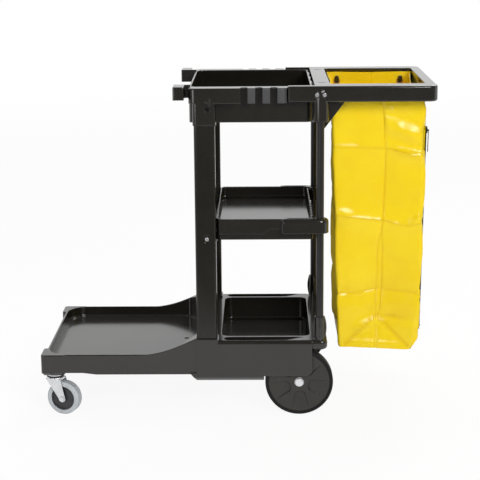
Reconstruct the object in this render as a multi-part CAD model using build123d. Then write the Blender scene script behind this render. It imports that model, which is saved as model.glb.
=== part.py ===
from build123d import *
import os
from math import atan2, cos, degrees, hypot, pi

# Janitorial cart. X runs along the cart from the platform to the bag, Y across it, Z up from the floor.
# The near side is at -Y. The origin is on the floor, under the middle of the cart.

# Clearances
FIT = 0.3  # between pieces that seat in one another
RUN = 0.05  # running clearance of a shaft, on the radius

# Lengths along the cart, and its width
PLATFORM_LENGTH = 467.0  # platform front to the front wall of the body
BODY_LENGTH = 344.0  # front wall to rear wall of the lower bin
BAG_BAY_LENGTH = 359.0  # rear wall of the bin to the end of the push handle
WIDTH = 552.0
WALL = 4.0  # moulded wall

FRONT = -(PLATFORM_LENGTH + BODY_LENGTH + BAG_BAY_LENGTH) / 2
REAR = -FRONT
BODY_X = FRONT + PLATFORM_LENGTH
BODY_END = BODY_X + BODY_LENGTH
HALF = WIDTH / 2

# Rear wheels and their axle
WHEEL_D = 203.2
WHEEL_WIDTH = 38.0
TYRE_DEPTH = 9.6
TYRE_ROUND = 5.0
AXLE_D = 12.7
AXLE_BACK = 38.0  # axle ahead of the rear wall of the bin
SKIRT_GAP = 5.0  # wheel face to the inside of the skirt
WELL_GAP = 25.8  # wheel top to the underside of the deck
HUB_R = 21.0
BUSH_R = 10.0
WHEEL_RIM = 8.0
WHEEL_DISC = 9.0
FACE_SET = 2.0  # wheel disc behind the side of the tyre
HUB_SET = 1.0
POCKETS = 5
POCKET_DEEP = 5.5
POCKET_MOUTH = 52.0
POCKET_ROOT = 30.0
POCKET_BLEND = 0.85  # rounding of a pocket's root, as a share of half its width
POCKET_TURN = 15.0
HANGER_WIDTH = 14.0
WASHER = 1.2
SPACER = 6.5
CAP_R = 13.0
CAP_HEIGHT = 5.0
CAP_ROUND = 3.0

AXLE_X = BODY_END - AXLE_BACK
AXLE_Z = WHEEL_D / 2
WHEEL_FACE = HALF - WALL - SKIRT_GAP
WHEEL_BACK = WHEEL_FACE - WHEEL_WIDTH
HUB_BACK = WHEEL_BACK + HUB_SET
HUB_FRONT = WHEEL_FACE - FACE_SET
HANGER_FACE = HUB_BACK - SPACER - 2 * FIT
TYRE_BORE_R = WHEEL_D / 2 - TYRE_DEPTH

# Swivel casters
CASTER_D = 101.6
CASTER_TREAD = 31.0
CASTER_CORE_R = 37.0
CASTER_TRAIL = 28.0
CASTER_ANGLE = -16.0  # how far the casters are turned at rest
CASTER_BOLT_D = 8.0
HEX_R = 7.2
BOLT_HEAD = 4.8
NUT_HEIGHT = 6.0
CASTER_SLEEVE_R = 6.0
CASTER_HUB_R = 12.0
CORE_SET = 1.0  # core inside the sides of the tread, and its hub inside the fork
LEG_GAP = 37.0
FORK_PLATE = 3.0
LEG_TIP_R = 10.5
LEG_TOP_BACK = 24.3
LEG_TOP_FRONT = 21.6
CROWN_R = 27.0
CROWN_GAP = 5.4
CROWN_HEIGHT = 9.0
KING_PIN_R = 6.0
KING_HEAD = 3.0
KING_HEAD_R = 9.0
SEAL_HEIGHT = 3.5
SEAL_BORE_R = 12.0
RACE_HEIGHT = 4.4
RACE_R = 25.0
SLEEVE_FLANGE = 1.5
SLEEVE_FLANGE_R = 13.6
STEM_R = 5.6
STEM_COVER = 19.5  # top of the stem below the platform floor
STEM_SLEEVE_R = 9.7

CROWN_Z = CASTER_D + CROWN_GAP
CROWN_TOP = CROWN_Z + CROWN_HEIGHT
RACE_Z = CROWN_TOP + SEAL_HEIGHT + FIT
RACE_TOP = RACE_Z + RACE_HEIGHT
SLEEVE_Z = RACE_TOP + FIT
BLOCK_Z = SLEEVE_Z + SLEEVE_FLANGE

# Platform and its caster blocks
BLOCK = 75.0
BLOCK_PROUD = 4.0  # caster blocks stand out from the side walls
BLOCK_ROUND = 10.0
BLOCK_CHAMFER = 8.0
PLATFORM_SET = 12.0  # front wall of the platform behind the front of the blocks
SKIRT_DROP = 8.0  # platform skirt above the foot of the caster blocks
RIM_HEIGHT = 56.5
FLOOR_DROP = 27.5  # platform floor below the rim
PLATFORM_WALL = 6.0
PLATFORM_ROUND = 30.0
TRAY_CORNER = 62.0
CORNER_FILL = 44.0
LEDGE = 10.0  # narrow step round the platform floor
LEDGE_DROP = 3.0
SWEEP_LENGTH = 190.0
SWEEP_MID = 0.54  # bend of the sweep, as a share of its length
SWEEP_MID_RISE = 0.27  # height of the bend, as a share of the rise
SWEEP_SLOPE = 0.45
RIM_ROUND = 2.5
DRAIN_R = 7.0
SKIRT_STEP = 5.0
SKIRT_STEP_BACK = 125.0
SKIRT_STEP_RUN = 40.0

PLATFORM_Z = BLOCK_Z + SKIRT_DROP
RIM_Z = PLATFORM_Z + RIM_HEIGHT
FLOOR_Z = RIM_Z - FLOOR_DROP
SIDE_HALF = HALF - BLOCK_PROUD
SWIVEL_X = FRONT + BLOCK / 2
SWIVEL_Y = HALF - BLOCK / 2
STEM_TOP = FLOOR_Z - STEM_COVER

# Body: lower bin, side ledges and post sockets
SKIRT_HEIGHT = 109.5
BELLY_HEIGHT = 124.5
BELLY_CHAMFER = 11.0
BELLY_LEAD = 21.0
SKIRT_ROUND = 18.0
DECK_ROUND = 10.0
SOCKET_LENGTH = 66.5
SOCKET_DEPTH = 54.0
SOCKET_LEAD = 2.0  # post socket ahead of the front wall
SOCKET_RISE = 5.5
SWEEP_RISE = 2.5
BIN_SET = 73.0  # bin behind the front wall of the body
BIN_ROUND = 24.0
FOOT_ROUND = 8.0
WELL_LEAD = 3.4
WELL_SIDE_GAP = 3.0  # inner side of a wheel to the bin
HANGER_R = 16.0
HANGER_ROOT = 34.0
LEDGE_SLOT = 240.0
LEDGE_SLOT_WIDTH = 34.0
LEDGE_SLOT_DEEP = 24.0
RIB = 3.0

DECK_Z = WHEEL_D + WELL_GAP + WALL
SKIRT_Z = DECK_Z - SKIRT_HEIGHT
BELLY_Z = DECK_Z - BELLY_HEIGHT
SOCKET_Z = DECK_Z + SOCKET_RISE
SOCKET_X = BODY_X - SOCKET_LEAD
SWEEP_Z = SOCKET_Z + SWEEP_RISE
BIN_FLOOR_Z = FLOOR_Z - LEDGE_DROP
BIN_X = BODY_X + BIN_SET
BIN_END = BODY_END - WALL
BIN_HALF = WHEEL_BACK - WELL_SIDE_GAP - WALL
WELL_X = AXLE_X - WHEEL_D / 2 - WELL_LEAD

# Front posts
POST_LENGTH = 61.0
POST_DEPTH = 42.0
POST_ROUND = 8.0
POST_WALL = 4.0
POST_SINK = 92.0  # length of post inside its socket in the base
POST_DROP = 28.0  # top of the post below the top of the tray

POST_X = SOCKET_X + SOCKET_LENGTH / 2
POST_Y = HALF - SOCKET_DEPTH / 2
POST_INNER = POST_Y - POST_DEPTH / 2
POST_OUTER = POST_Y + POST_DEPTH / 2

# Rear tubes
TUBE_D = 22.2
TUBE_WALL = 1.6
TUBE_BACK = 23.0  # tube behind the rear wall of the bin
TUBE_SOCKET = 69.0
TUBE_SINK = 26.0
TUBE_FINS = 4
TUBE_FIN_OUT = 5.0
TUBE_DROP = 31.0  # top of the tube below the top of the bag frame
BOSS_R = 25.0
LIP_OUT = 23.0
LIP_HEIGHT = 30.0
LIP_ROUND = 18.0

TUBE_X = BODY_END + TUBE_BACK
TUBE_Y = HALF - BOSS_R
LIP_X = TUBE_X + LIP_OUT
LIP_Z = DECK_Z - LIP_HEIGHT

# Middle shelf
SHELF_BASE_Z = 537.5
SHELF_HEIGHT = 62.5
SHELF_INSET = 22.0  # side of the shelf inside the cart's width
SHELF_RIM = 8.0
SHELF_SKIRT = 45.0
SHELF_DEEP = 36.0  # floor of the shelf below its rim
SHELF_RIBS = 3
SHELF_OGEE = 15.0
SHELF_END_GAP = 9.0  # end wall of the shelf ahead of the rear tubes
SHELF_TEETH = 13
SHELF_TOOTH_GAP = 14.0
SHELF_TOOTH = 5.0
PAD_LENGTH = 115.0
PAD_WIDTH = 36.0
PAD_HEIGHT = 43.0
PAD_RISE = 1.5
PAD_ROUND = 11.0
PAD_SLOT = 74.0
PAD_SLOT_WIDTH = 9.0
EAR = 20.0
EAR_HEIGHT = 30.0

SHELF_X = POST_X + POST_LENGTH / 2 + FIT
SHELF_END = TUBE_X - TUBE_D / 2 - SHELF_END_GAP
SHELF_HALF = HALF - SHELF_INSET
SHELF_RIM_Z = SHELF_BASE_Z + SHELF_HEIGHT
SHELF_FLOOR_Z = SHELF_RIM_Z - SHELF_DEEP

# Top tray
TRAY_Z = 985.0
TRAY_SKIRT = 44.0
TRAY_DEEP = 104.0
TRAY_WALL_SET = 47.0  # tray opening inside its outer face
TRAY_LEAD = 44.8  # tray front ahead of the middle of the front posts
TRAY_FRONT_WALL = 6.0
TRAY_EDGE = 3.5
TRAY_ROUND = 18.0
TRAY_SOCKET = 108.0
TRAY_SOCKET_WALL = 2.7
TRAY_OVERHANG = 3.0  # tray behind the rear wall of the lower bin
TRAY_WAVE = 4.0
TRAY_WAVES = 4
NOTCH_WIDTH = 20.6
NOTCH_DEEP = 24.0
NOTCH_PITCH = 42.7
NOTCH_FIRST = 105.2  # first notch behind the front posts' middle plane
NOTCHES = 3
HOOK_OUT = 44.5
HOOK_TIP = 32.0
HOOK_REACH = 70.0
HOOK_ARM = 10.0
HOOK_HEIGHT = 38.0
HOOK_RISE = 4.0  # hook above the top of the tray
CLEAT_SHIFT = 17.75  # cleat behind the middle of a front post
CLEAT_DROP = 31.0
CLEAT_HEIGHT = 18.0
CLEAT_WIDTH = 4.0
CLEAT_STUB = 12.0
CLEAT_PROUD = 2.5

TRAY_HALF = POST_OUTER + FIT + TRAY_SOCKET_WALL
TRAY_BIN_HALF = TRAY_HALF - TRAY_WALL_SET
TRAY_X = POST_X - TRAY_LEAD
TRAY_END = BODY_END + TRAY_OVERHANG
POST_TOP = TRAY_Z - POST_DROP
POST_BASE = SOCKET_Z - POST_SINK

# Bag frame, which is also the push handle
FRAME_RISE = 4.5  # frame above the tray
FRAME_HEIGHT = 46.5
FRAME_ROUND = 28.0
FRAME_EDGE = 6.0
ARM_LEAD = 93.0  # arms ahead of the rear tubes
ARM_WIDTH = 25.0
DECK_GAP = 3.5  # deck of the frame behind the tray
DECK_WIDTH = 45.0
HANDLE_WIDTH = 32.0
RAIL_WIDTH = 60.0
OPENING_ROUND = 10.0
BOSS_LENGTH = 95.0
BOSS_DOME = 10.0
GUSSET_OUT = 73.0
GUSSET_DROP = 84.0
GUSSET_FOOT = 9.0  # foot of the gusset behind the middle of the tube
BAG_HOOK_R = 4.0
BAG_HOOK_OUT = 12.0
BAG_HOOK_WIDTH = 12.5
BAG_HOOK_HEIGHT = 19.0
BAG_HOOK_PLATE = 4.0
BAG_HOOK_DROP = 37.0
BAG_HOOK_SET = 41.0  # hook from the front edge of the opening
BAG_HOOK_PITCH = 201.0
DECK_SLOT = 22.0
DECK_SLOT_WIDTH = 5.0
DECK_SLOT_Y = 182.0
GROOVE_SET = 25.0  # top of the groove on an arm behind its front
GROOVE_LEAN = 11.0
GROOVE_DROP = 29.5
GROOVE_HEIGHT = 20.0
GROOVE_WIDTH = 2.0
GROOVE_DEEP = 0.8

FRAME_Z = TRAY_Z + FRAME_RISE
FRAME_BASE_Z = FRAME_Z - FRAME_HEIGHT
FRAME_HALF = TRAY_HALF
ARM_X = TUBE_X - ARM_LEAD
ARM_INNER = FRAME_HALF - ARM_WIDTH
DECK_X = TRAY_END + DECK_GAP
OPEN_X = DECK_X + DECK_WIDTH
OPEN_END = REAR - HANDLE_WIDTH
OPEN_HALF = FRAME_HALF - RAIL_WIDTH
BAG_HOOK_Z = FRAME_Z - BAG_HOOK_DROP
BAG_HOOK_X = OPEN_X + BAG_HOOK_SET
TUBE_TOP = FRAME_Z - TUBE_DROP
TUBE_BASE = DECK_Z - TUBE_SINK

# Bag and its zip
BAG_TOP_DROP = 10.0
BAG_HEIGHT = 791.0
BAG_GAP = 2.5
BAG_WALL = 2.5
BAG_ROUND = 8.0
BAG_FRONT_TAPER = 29.0  # how far the front of the bag leans in towards its foot
BAG_REAR_TAPER = 11.5
BAG_BULGE = 10.5  # rear of the bag out under the frame
BAG_NECK = 2.0
BAG_SHOULDER = 20.0  # shoulder of the bag below the frame
BAG_TAPER_Y = 10.0
EYELET_R = 8.0
EYELET_FLANGE = 3.0
EYELET_PLATE = 0.8
ZIP_LENGTH = 615.0
ZIP_DROP = 120.0  # top of the zip below the top of the bag
ZIP_SET = 30.0  # zip from the near side of the bag
ZIP_TAPE = 28.0
ZIP_TAPE_THICK = 1.0
ZIP_COIL = 6.0
ZIP_COIL_THICK = 2.2
SLIDER_LENGTH = 16.0
SLIDER_WIDTH = 11.0
SLIDER_PLATE = 1.6
PULL_LENGTH = 64.0
PULL_WIDTH = 8.0
PULL_THICK = 1.6
PIN_R = 1.2
PIN_RISE = 3.0  # pin above the plate of the slider
SLIDER_DROP = 3.6  # slider below the top of the zip

BAG_TOP = FRAME_Z - BAG_TOP_DROP
BAG_BASE = BAG_TOP - BAG_HEIGHT
BAG_X = OPEN_X + BAG_GAP
BAG_END = OPEN_END - BAG_GAP
BAG_HALF = OPEN_HALF - BAG_GAP
NECK_Z = FRAME_BASE_Z - BAG_NECK
SHOULDER_Z = FRAME_BASE_Z - BAG_SHOULDER
SHOULDER_X = BAG_END + BAG_BULGE
REAR_LEAN = BAG_REAR_TAPER / (SHOULDER_Z - BAG_BASE)
EYELET_BORE_R = EYELET_R - FIT - EYELET_PLATE
EYELET_Z = BAG_HOOK_Z + BAG_HOOK_R + RUN - EYELET_BORE_R

# Screws
SCREW_R = 3.0
SCREW_HEAD_R = 6.0
SCREW_HEAD = 3.0
SCREW_RECESS_R = 12.0
SCREW_RECESS = 1.5
SHELF_SCREW_RISE = 5.0
SHELF_SCREW_SHIFT = 4.0
TRAY_SCREW_DROP = 60.0
TRAY_SCREW_SHIFT = 10.0
TRAY_SCREW_SEAT = 1.2
FRAME_SCREW_DROP = 25.0
FRAME_SCREW_LENGTH = 16.0
FRAME_SCREW_PITCH = 21.0

SHELF_SCREW_Z = SHELF_BASE_Z + SHELF_SCREW_RISE
TRAY_SCREW_Z = TRAY_Z - TRAY_SCREW_DROP
FRAME_SCREW_Z = FRAME_Z - FRAME_SCREW_DROP

NEAR = -1
FAR = 1
SIDES = {"near": NEAR, "far": FAR}


def block(x0, x1, y0, y1, z0, z1):
    """Plain block between two corners."""
    return Pos((x0 + x1) / 2, (y0 + y1) / 2, (z0 + z1) / 2) * Box(x1 - x0, y1 - y0, z1 - z0)


def slab(x0, x1, half, z0, z1, radius):
    """Block centred across the cart, with rounded upright corners."""
    plan = RectangleRounded(x1 - x0, 2 * half, radius)
    return Pos((x0 + x1) / 2, 0, z0) * extrude(plan, z1 - z0)


def upright(profile, y0, y1):
    """Profile drawn in X and Z, extruded across the cart from y0 to y1."""
    return Pos(0, y1, 0) * extrude(Plane.XZ * profile, y1 - y0)


def both_sides(shape):
    """The shape and its mirror image on the other side of the cart."""
    return shape + mirror(shape, about=Plane.XZ)


def rod(radius, y0, y1, x=0, z=0):
    """Round bar across the cart."""
    return Pos(x, (y0 + y1) / 2, z) * Rot(90, 0, 0) * Cylinder(radius, y1 - y0)


def tube_of(outer_r, inner_r, y0, y1, x=0, z=0):
    """Sleeve across the cart."""
    return rod(outer_r, y0, y1, x, z) - rod(inner_r, y0, y1, x, z)


def foot_round(tool, radius):
    """Round the lower edges of a cutting block, so that a pocket gets a rounded foot."""
    return fillet(tool.faces().sort_by(Axis.Z)[0].edges(), radius)


def platform_plan(inset):
    """Inside of the platform: wide round corners at the casters, slanted ones at the post sockets."""
    x0 = FRONT + PLATFORM_SET + PLATFORM_WALL + inset
    x1 = BODY_X - inset
    half = SIDE_HALF - PLATFORM_WALL - inset
    fill = CORNER_FILL
    corners = [(x0, -half), (x1 - fill, -half), (x1, fill - half), (x1, half - fill), (x1 - fill, half), (x0, half)]
    plan = Polygon(*corners, align=None)
    plan = fillet(plan.vertices().group_by(Axis.X)[0], TRAY_CORNER - inset)
    rear = plan.vertices().filter_by_position(Axis.X, x1 - fill - 1, x1 + 1)
    return fillet(rear, FOOT_ROUND * 2)


def platform_shell():
    """Platform with its rim, hollow and ribbed underneath."""
    shell = slab(
        FRONT + PLATFORM_SET, BODY_X + PLATFORM_ROUND + WALL, SIDE_HALF, PLATFORM_Z, RIM_Z, PLATFORM_ROUND
    )
    shell = fillet(shell.faces().sort_by(Axis.Z)[-1].edges(), RIM_ROUND)
    step_x = FRONT + SKIRT_STEP_BACK
    step = Polygon(
        (step_x, PLATFORM_Z),
        (step_x + SKIRT_STEP_RUN, PLATFORM_Z - SKIRT_STEP),
        (BODY_X, PLATFORM_Z - SKIRT_STEP),
        (BODY_X, PLATFORM_Z),
        align=None,
    )
    shell += upright(step, -SIDE_HALF, SIDE_HALF)
    under_floor = FLOOR_Z - LEDGE_DROP - WALL
    hollow_end = BODY_X - BELLY_LEAD - WALL
    shell -= slab(
        FRONT + PLATFORM_SET + WALL, hollow_end, SIDE_HALF - WALL, 0, under_floor, PLATFORM_ROUND - WALL
    )
    rib_front = FRONT + PLATFORM_SET + WALL / 2
    for row in (-1, 0, 1):
        y = row * HALF / 2
        shell += block(rib_front, hollow_end + 1, y - RIB / 2, y + RIB / 2, PLATFORM_Z + RIB, under_floor + 1)
    bay = (hollow_end - rib_front) / 4
    for row in (1, 2, 3):
        x = rib_front + row * bay
        half = SIDE_HALF - WALL / 2
        shell += block(x - RIB / 2, x + RIB / 2, -half, half, PLATFORM_Z + RIB, under_floor + 1)
    return shell


def side_sweeps():
    """Side walls of the platform where they sweep up to the front posts."""
    start = BODY_X - SWEEP_LENGTH
    rise = SWEEP_Z - RIM_Z
    crest = Spline(
        (start, RIM_Z - RIM_ROUND),
        (start + SWEEP_MID * SWEEP_LENGTH, RIM_Z + SWEEP_MID_RISE * rise),
        (BODY_X, SWEEP_Z),
        tangents=[(1, 0), (1, SWEEP_SLOPE)],
    )
    edge = Polyline(
        (BODY_X, SWEEP_Z),
        (BODY_X + WALL, SWEEP_Z),
        (BODY_X + WALL, PLATFORM_Z),
        (start, PLATFORM_Z),
        (start, RIM_Z - RIM_ROUND),
    )
    wall = upright(make_face(crest + edge), SIDE_HALF - PLATFORM_WALL - CORNER_FILL, SIDE_HALF)
    return both_sides(wall)


def caster_blocks():
    """Corner blocks that carry the casters."""
    post = extrude(RectangleRounded(BLOCK, BLOCK, BLOCK_ROUND), RIM_Z - BLOCK_Z)
    post = chamfer(post.faces().sort_by(Axis.Z)[0].edges(), BLOCK_CHAMFER)
    post = fillet(post.faces().sort_by(Axis.Z)[-1].edges(), RIM_ROUND)
    return both_sides(Pos(SWIVEL_X, SWIVEL_Y, BLOCK_Z) * post)


def under_deck(x0, x1, z0):
    """Space under the deck between the side walls, with its upper corners rounded."""
    inside = HALF - WALL
    space = block(x0, x1, -inside, inside, z0, DECK_Z - WALL)
    return fillet(space.edges().filter_by(Axis.X).group_by(Axis.Z)[-1], DECK_ROUND - WALL)


def body_shell():
    """Box round the lower bin, with its rear lip and the skirts over the wheels, hollow and ribbed underneath."""
    shell = block(BODY_X, BODY_END, -HALF, HALF, SKIRT_Z, DECK_Z)
    shell = fillet(shell.edges().filter_by(Axis.X).group_by(Axis.Z)[-1], DECK_ROUND)
    shell = fillet(shell.edges().filter_by(Axis.Y).group_by(Axis.Z)[0].sort_by(Axis.X)[-1], SKIRT_ROUND)
    belly = Polygon(
        (BODY_X - BELLY_LEAD, PLATFORM_Z),
        (BODY_X, BELLY_Z),
        (WELL_X, BELLY_Z),
        (WELL_X, PLATFORM_Z),
        align=None,
    )
    belly = upright(belly, -HALF, HALF)
    shell += chamfer(belly.edges().filter_by(Axis.X).group_by(Axis.Z)[0], BELLY_CHAMFER)
    lip = slab(BODY_END - 2 * LIP_ROUND, LIP_X, SIDE_HALF, LIP_Z, DECK_Z, LIP_ROUND)
    lip = fillet(lip.faces().filter_by(Axis.Z).edges(), DECK_ROUND)
    shell += lip
    belly_inside = HALF - BELLY_CHAMFER - WALL
    front_bay = under_deck(BODY_X + WALL, WELL_X - WALL, SKIRT_Z)
    for x in (BODY_X + SOCKET_LENGTH + BIN_SET / 2, WELL_X - BIN_SET / 2):
        rib = block(x - RIB / 2, x + RIB / 2, BIN_HALF + WALL / 2, HALF, SKIRT_Z, DECK_Z)
        front_bay -= both_sides(rib)
    shell -= front_bay
    shell -= block(BODY_X + WALL, WELL_X - WALL, -belly_inside, belly_inside, 0, SKIRT_Z + 1)
    shell -= under_deck(WELL_X, BODY_END + 1, 0)
    lip_space = slab(BODY_END - LIP_ROUND, LIP_X - WALL, SIDE_HALF - WALL, 0, DECK_Z - WALL, LIP_ROUND - WALL)
    shell -= fillet(lip_space.faces().sort_by(Axis.Z)[-1].edges(), DECK_ROUND - WALL)
    return shell


def bin_tub(wall):
    """Lower bin, level with the platform, as its outside or, with no wall, as the space inside."""
    top = DECK_Z if wall else DECK_Z + 1
    tub = slab(BIN_X - wall, BIN_END + wall, BIN_HALF + wall, BIN_FLOOR_Z - wall, top, BIN_ROUND + wall)
    return foot_round(tub, FOOT_ROUND)


def ledge_pocket(wall):
    """Long pocket in a side ledge: deep at the front and ramped up to the deck at the rear."""
    x0 = BIN_X + 2 * WALL - wall
    x1 = x0 + LEDGE_SLOT + 2 * wall
    y = (BIN_HALF + HALF) / 2
    deep = LEDGE_SLOT_DEEP + wall
    top = DECK_Z - wall / 2 if wall else DECK_Z + 1
    plan = Pos((x0 + x1) / 2, y, DECK_Z - deep) * SlotOverall(x1 - x0, LEDGE_SLOT_WIDTH + 2 * wall)
    ramp = Polygon((x0, DECK_Z - deep), (x1, DECK_Z - wall), (x1, top), (x0, top), align=None)
    pocket = extrude(plan, top - DECK_Z + deep) & upright(ramp, y - LEDGE_SLOT_WIDTH, y + LEDGE_SLOT_WIDTH)
    return both_sides(pocket)


def post_sockets():
    """Blocks of the base that take the front posts."""
    socket = block(SOCKET_X, SOCKET_X + SOCKET_LENGTH, HALF - SOCKET_DEPTH, HALF, SKIRT_Z, SOCKET_Z)
    socket = fillet(socket.edges().filter_by(Axis.Z), RIM_ROUND)
    return both_sides(socket)


def post_section(grow):
    """Rounded section of a front post, grown on every side."""
    return RectangleRounded(POST_LENGTH + 2 * grow, POST_DEPTH + 2 * grow, POST_ROUND + grow)


def post_bores(z0, z1):
    """Space for the two front posts, with their clearance."""
    bore = Pos(POST_X, POST_Y, z0) * extrude(post_section(FIT), z1 - z0)
    return both_sides(bore)


def tube_bores(z0, z1):
    """Space for the two rear tubes, with their clearance."""
    bore = Pos(TUBE_X, TUBE_Y, (z0 + z1) / 2) * Cylinder(TUBE_D / 2 + FIT, z1 - z0)
    return both_sides(bore)


def axle_hangers():
    """Lugs under the bin that carry the axle beside each wheel."""
    top = BIN_FLOOR_Z - WALL / 2
    lug = Polygon(
        (AXLE_X - HANGER_R, AXLE_Z),
        (AXLE_X + HANGER_R, AXLE_Z),
        (AXLE_X + HANGER_ROOT, top),
        (AXLE_X - HANGER_ROOT, top),
        align=None,
    )
    lug = lug + Pos(AXLE_X, AXLE_Z) * Circle(HANGER_R)
    return both_sides(upright(lug, HANGER_FACE - HANGER_WIDTH, HANGER_FACE))


def tube_sockets():
    """Sleeves of the base that take the rear tubes, each with bowed fins round it."""
    top = DECK_Z + TUBE_SOCKET
    sleeve_r = TUBE_D / 2 + WALL
    socket = Pos(0, 0, (LIP_Z + top) / 2) * Cylinder(sleeve_r, top - LIP_Z)
    bow = ThreePointArc((sleeve_r, DECK_Z), (sleeve_r + TUBE_FIN_OUT, DECK_Z + TUBE_SOCKET / 3), (sleeve_r, top))
    root = Polyline((sleeve_r, top), (TUBE_D / 2, top), (TUBE_D / 2, DECK_Z), (sleeve_r, DECK_Z))
    fin = upright(make_face(bow + root), -RIB / 2, RIB / 2)
    for turn in range(TUBE_FINS):
        socket += Rot(0, 0, 360 * turn / TUBE_FINS) * fin
    return both_sides(Pos(TUBE_X, TUBE_Y, 0) * socket)


def base_platform():
    """One moulding: platform, lower bin, post sockets, tube sockets, caster blocks and axle hangers."""
    base = platform_shell() + side_sweeps() + caster_blocks() + body_shell() + post_sockets()
    base += bin_tub(WALL) + ledge_pocket(WALL) + axle_hangers() + tube_sockets()
    tray = Pos(0, 0, FLOOR_Z) * extrude(platform_plan(0), SWEEP_Z - FLOOR_Z + 1)
    base -= tray
    base -= Pos(0, 0, FLOOR_Z - LEDGE_DROP) * extrude(platform_plan(LEDGE), 2 * LEDGE_DROP)
    base -= bin_tub(0)
    base -= ledge_pocket(0)
    base -= post_bores(POST_BASE, SWEEP_Z + 1)
    base -= tube_bores(TUBE_BASE, DECK_Z + TUBE_SOCKET + 1)
    base -= rod(AXLE_D / 2 + RUN, -HALF, HALF, AXLE_X, AXLE_Z)
    base -= both_sides(Pos(SWIVEL_X, SWIVEL_Y, 0) * disc_at(STEM_SLEEVE_R + FIT, BLOCK_Z - 1, STEM_TOP + FIT))
    base -= Pos(BODY_X - CORNER_FILL, 0, FLOOR_Z) * Cylinder(DRAIN_R, 4 * WALL + 2 * LEDGE_DROP)
    return base


def screw(length):
    """Pan-head screw along Y: its head is on the outer side of Y = 0 and its shank points to -Y."""
    head = fillet(rod(SCREW_HEAD_R, 0, SCREW_HEAD).edges().sort_by(Axis.Y)[-1], SCREW_HEAD / 2)
    return head + rod(SCREW_R, -length, FIT)


def on_side(shape, side):
    """A shape drawn for the far side, moved to the side asked for."""
    return shape if side == FAR else mirror(shape, about=Plane.XZ)


def shelf_screw_hole(radius):
    """Bore along a shelf screw, through a post and into the shelf."""
    return rod(radius, POST_INNER - EAR, POST_OUTER, POST_X + SHELF_SCREW_SHIFT, SHELF_SCREW_Z)


def tray_screw_hole(radius):
    """Bore along a tray screw, through a socket of the tray and the outer wall of a post."""
    return rod(radius, POST_Y, TRAY_HALF, POST_X + TRAY_SCREW_SHIFT, TRAY_SCREW_Z)


def front_post(side):
    """Hollow upright with recesses for its screws."""
    section = post_section(0) - RectangleRounded(
        POST_LENGTH - 2 * POST_WALL, POST_DEPTH - 2 * POST_WALL, POST_ROUND - POST_WALL
    )
    post = Pos(POST_X, POST_Y, POST_BASE + FIT) * extrude(section, POST_TOP - POST_BASE - FIT)
    post -= shelf_screw_hole(SCREW_R + FIT)
    recess_x = POST_X + SHELF_SCREW_SHIFT
    post -= rod(SCREW_RECESS_R, POST_OUTER - SCREW_RECESS, POST_OUTER, recess_x, SHELF_SCREW_Z)
    post -= tray_screw_hole(SCREW_R + FIT)
    return on_side(post, side)


def rear_post(side):
    """Round tube between the base and the bag frame."""
    ring = Circle(TUBE_D / 2) - Circle(TUBE_D / 2 - TUBE_WALL)
    tube = Pos(TUBE_X, TUBE_Y, TUBE_BASE + FIT) * extrude(ring, TUBE_TOP - TUBE_BASE - FIT)
    return on_side(tube, side)


def shelf_side_rim():
    """Rolled rim of a shelf side: its skirt is deep at the front and rises in an S towards the rear."""
    x0 = SHELF_X + 2 * WALL
    x1 = TUBE_X - PAD_LENGTH + WALL
    low = SHELF_RIM_Z - SHELF_SKIRT
    rise = Spline(
        (x1 - 4 * SHELF_OGEE, low), (x1 - 2 * SHELF_OGEE, low + SHELF_OGEE), tangents=[(1, 0), (1, 0)]
    )
    edge = Polyline(
        (x1 - 2 * SHELF_OGEE, low + SHELF_OGEE),
        (x1, low + SHELF_OGEE),
        (x1, SHELF_RIM_Z),
        (x0, SHELF_RIM_Z),
        (x0, low),
        (x1 - 4 * SHELF_OGEE, low),
    )
    rim = upright(make_face(rise + edge), SHELF_HALF - WALL, SHELF_HALF + SHELF_RIM)
    rim = fillet(rim.edges().filter_by(Axis.X).group_by(Axis.Z)[-1].sort_by(Axis.Y)[-1], RIM_ROUND)
    groove = block(
        x0 + WALL, x1 - WALL, SHELF_HALF, SHELF_HALF + SHELF_RIM - WALL, SHELF_BASE_Z, SHELF_RIM_Z - WALL
    )
    return rim - groove


def shelf_pad():
    """Pad and collar that hold the shelf to a rear tube."""
    plan = Pos(TUBE_X - PAD_LENGTH / 2, HALF - PAD_WIDTH / 2) * Rectangle(PAD_LENGTH, PAD_WIDTH)
    plan = plan + Pos(TUBE_X, TUBE_Y) * Circle(BOSS_R)
    top = SHELF_RIM_Z + PAD_RISE
    pad = Pos(0, 0, top - PAD_HEIGHT) * extrude(plan, PAD_HEIGHT)
    corner = pad.edges().filter_by(Axis.Z).group_by(Axis.X)[0].sort_by(Axis.Y)[-1]
    pad = fillet(corner, PAD_ROUND)
    outer = pad.faces().sort_by(Axis.Z)[-1].edges().filter_by_position(Axis.Y, HALF - PAD_ROUND, HALF)
    pad = fillet(outer, PAD_ROUND)
    pad -= block(
        TUBE_X - PAD_LENGTH + WALL,
        TUBE_X - BOSS_R - WALL,
        HALF - PAD_WIDTH + WALL,
        HALF - WALL,
        top - PAD_HEIGHT,
        top - 2 * WALL,
    )
    slot = Pos(TUBE_X - PAD_LENGTH / 2 - WALL, HALF - PAD_WIDTH / 2, top - 3 * WALL)
    pad -= slot * extrude(SlotOverall(PAD_SLOT, PAD_SLOT_WIDTH), 4 * WALL)
    return pad


def shelf_hollow():
    """Space under the floor of the shelf, with ribs across it."""
    top = SHELF_FLOOR_Z - WALL
    space = slab(SHELF_X + WALL, SHELF_END - WALL, SHELF_HALF - WALL, SHELF_BASE_Z - 1, top, FOOT_ROUND + WALL)
    pitch = 2 * SHELF_HALF / (SHELF_RIBS + 1)
    for row in range(SHELF_RIBS):
        y = (row - (SHELF_RIBS - 1) / 2) * pitch
        space -= block(SHELF_X, SHELF_END, y - RIB / 2, y + RIB / 2, SHELF_BASE_Z + RIB, top)
    return space


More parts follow.
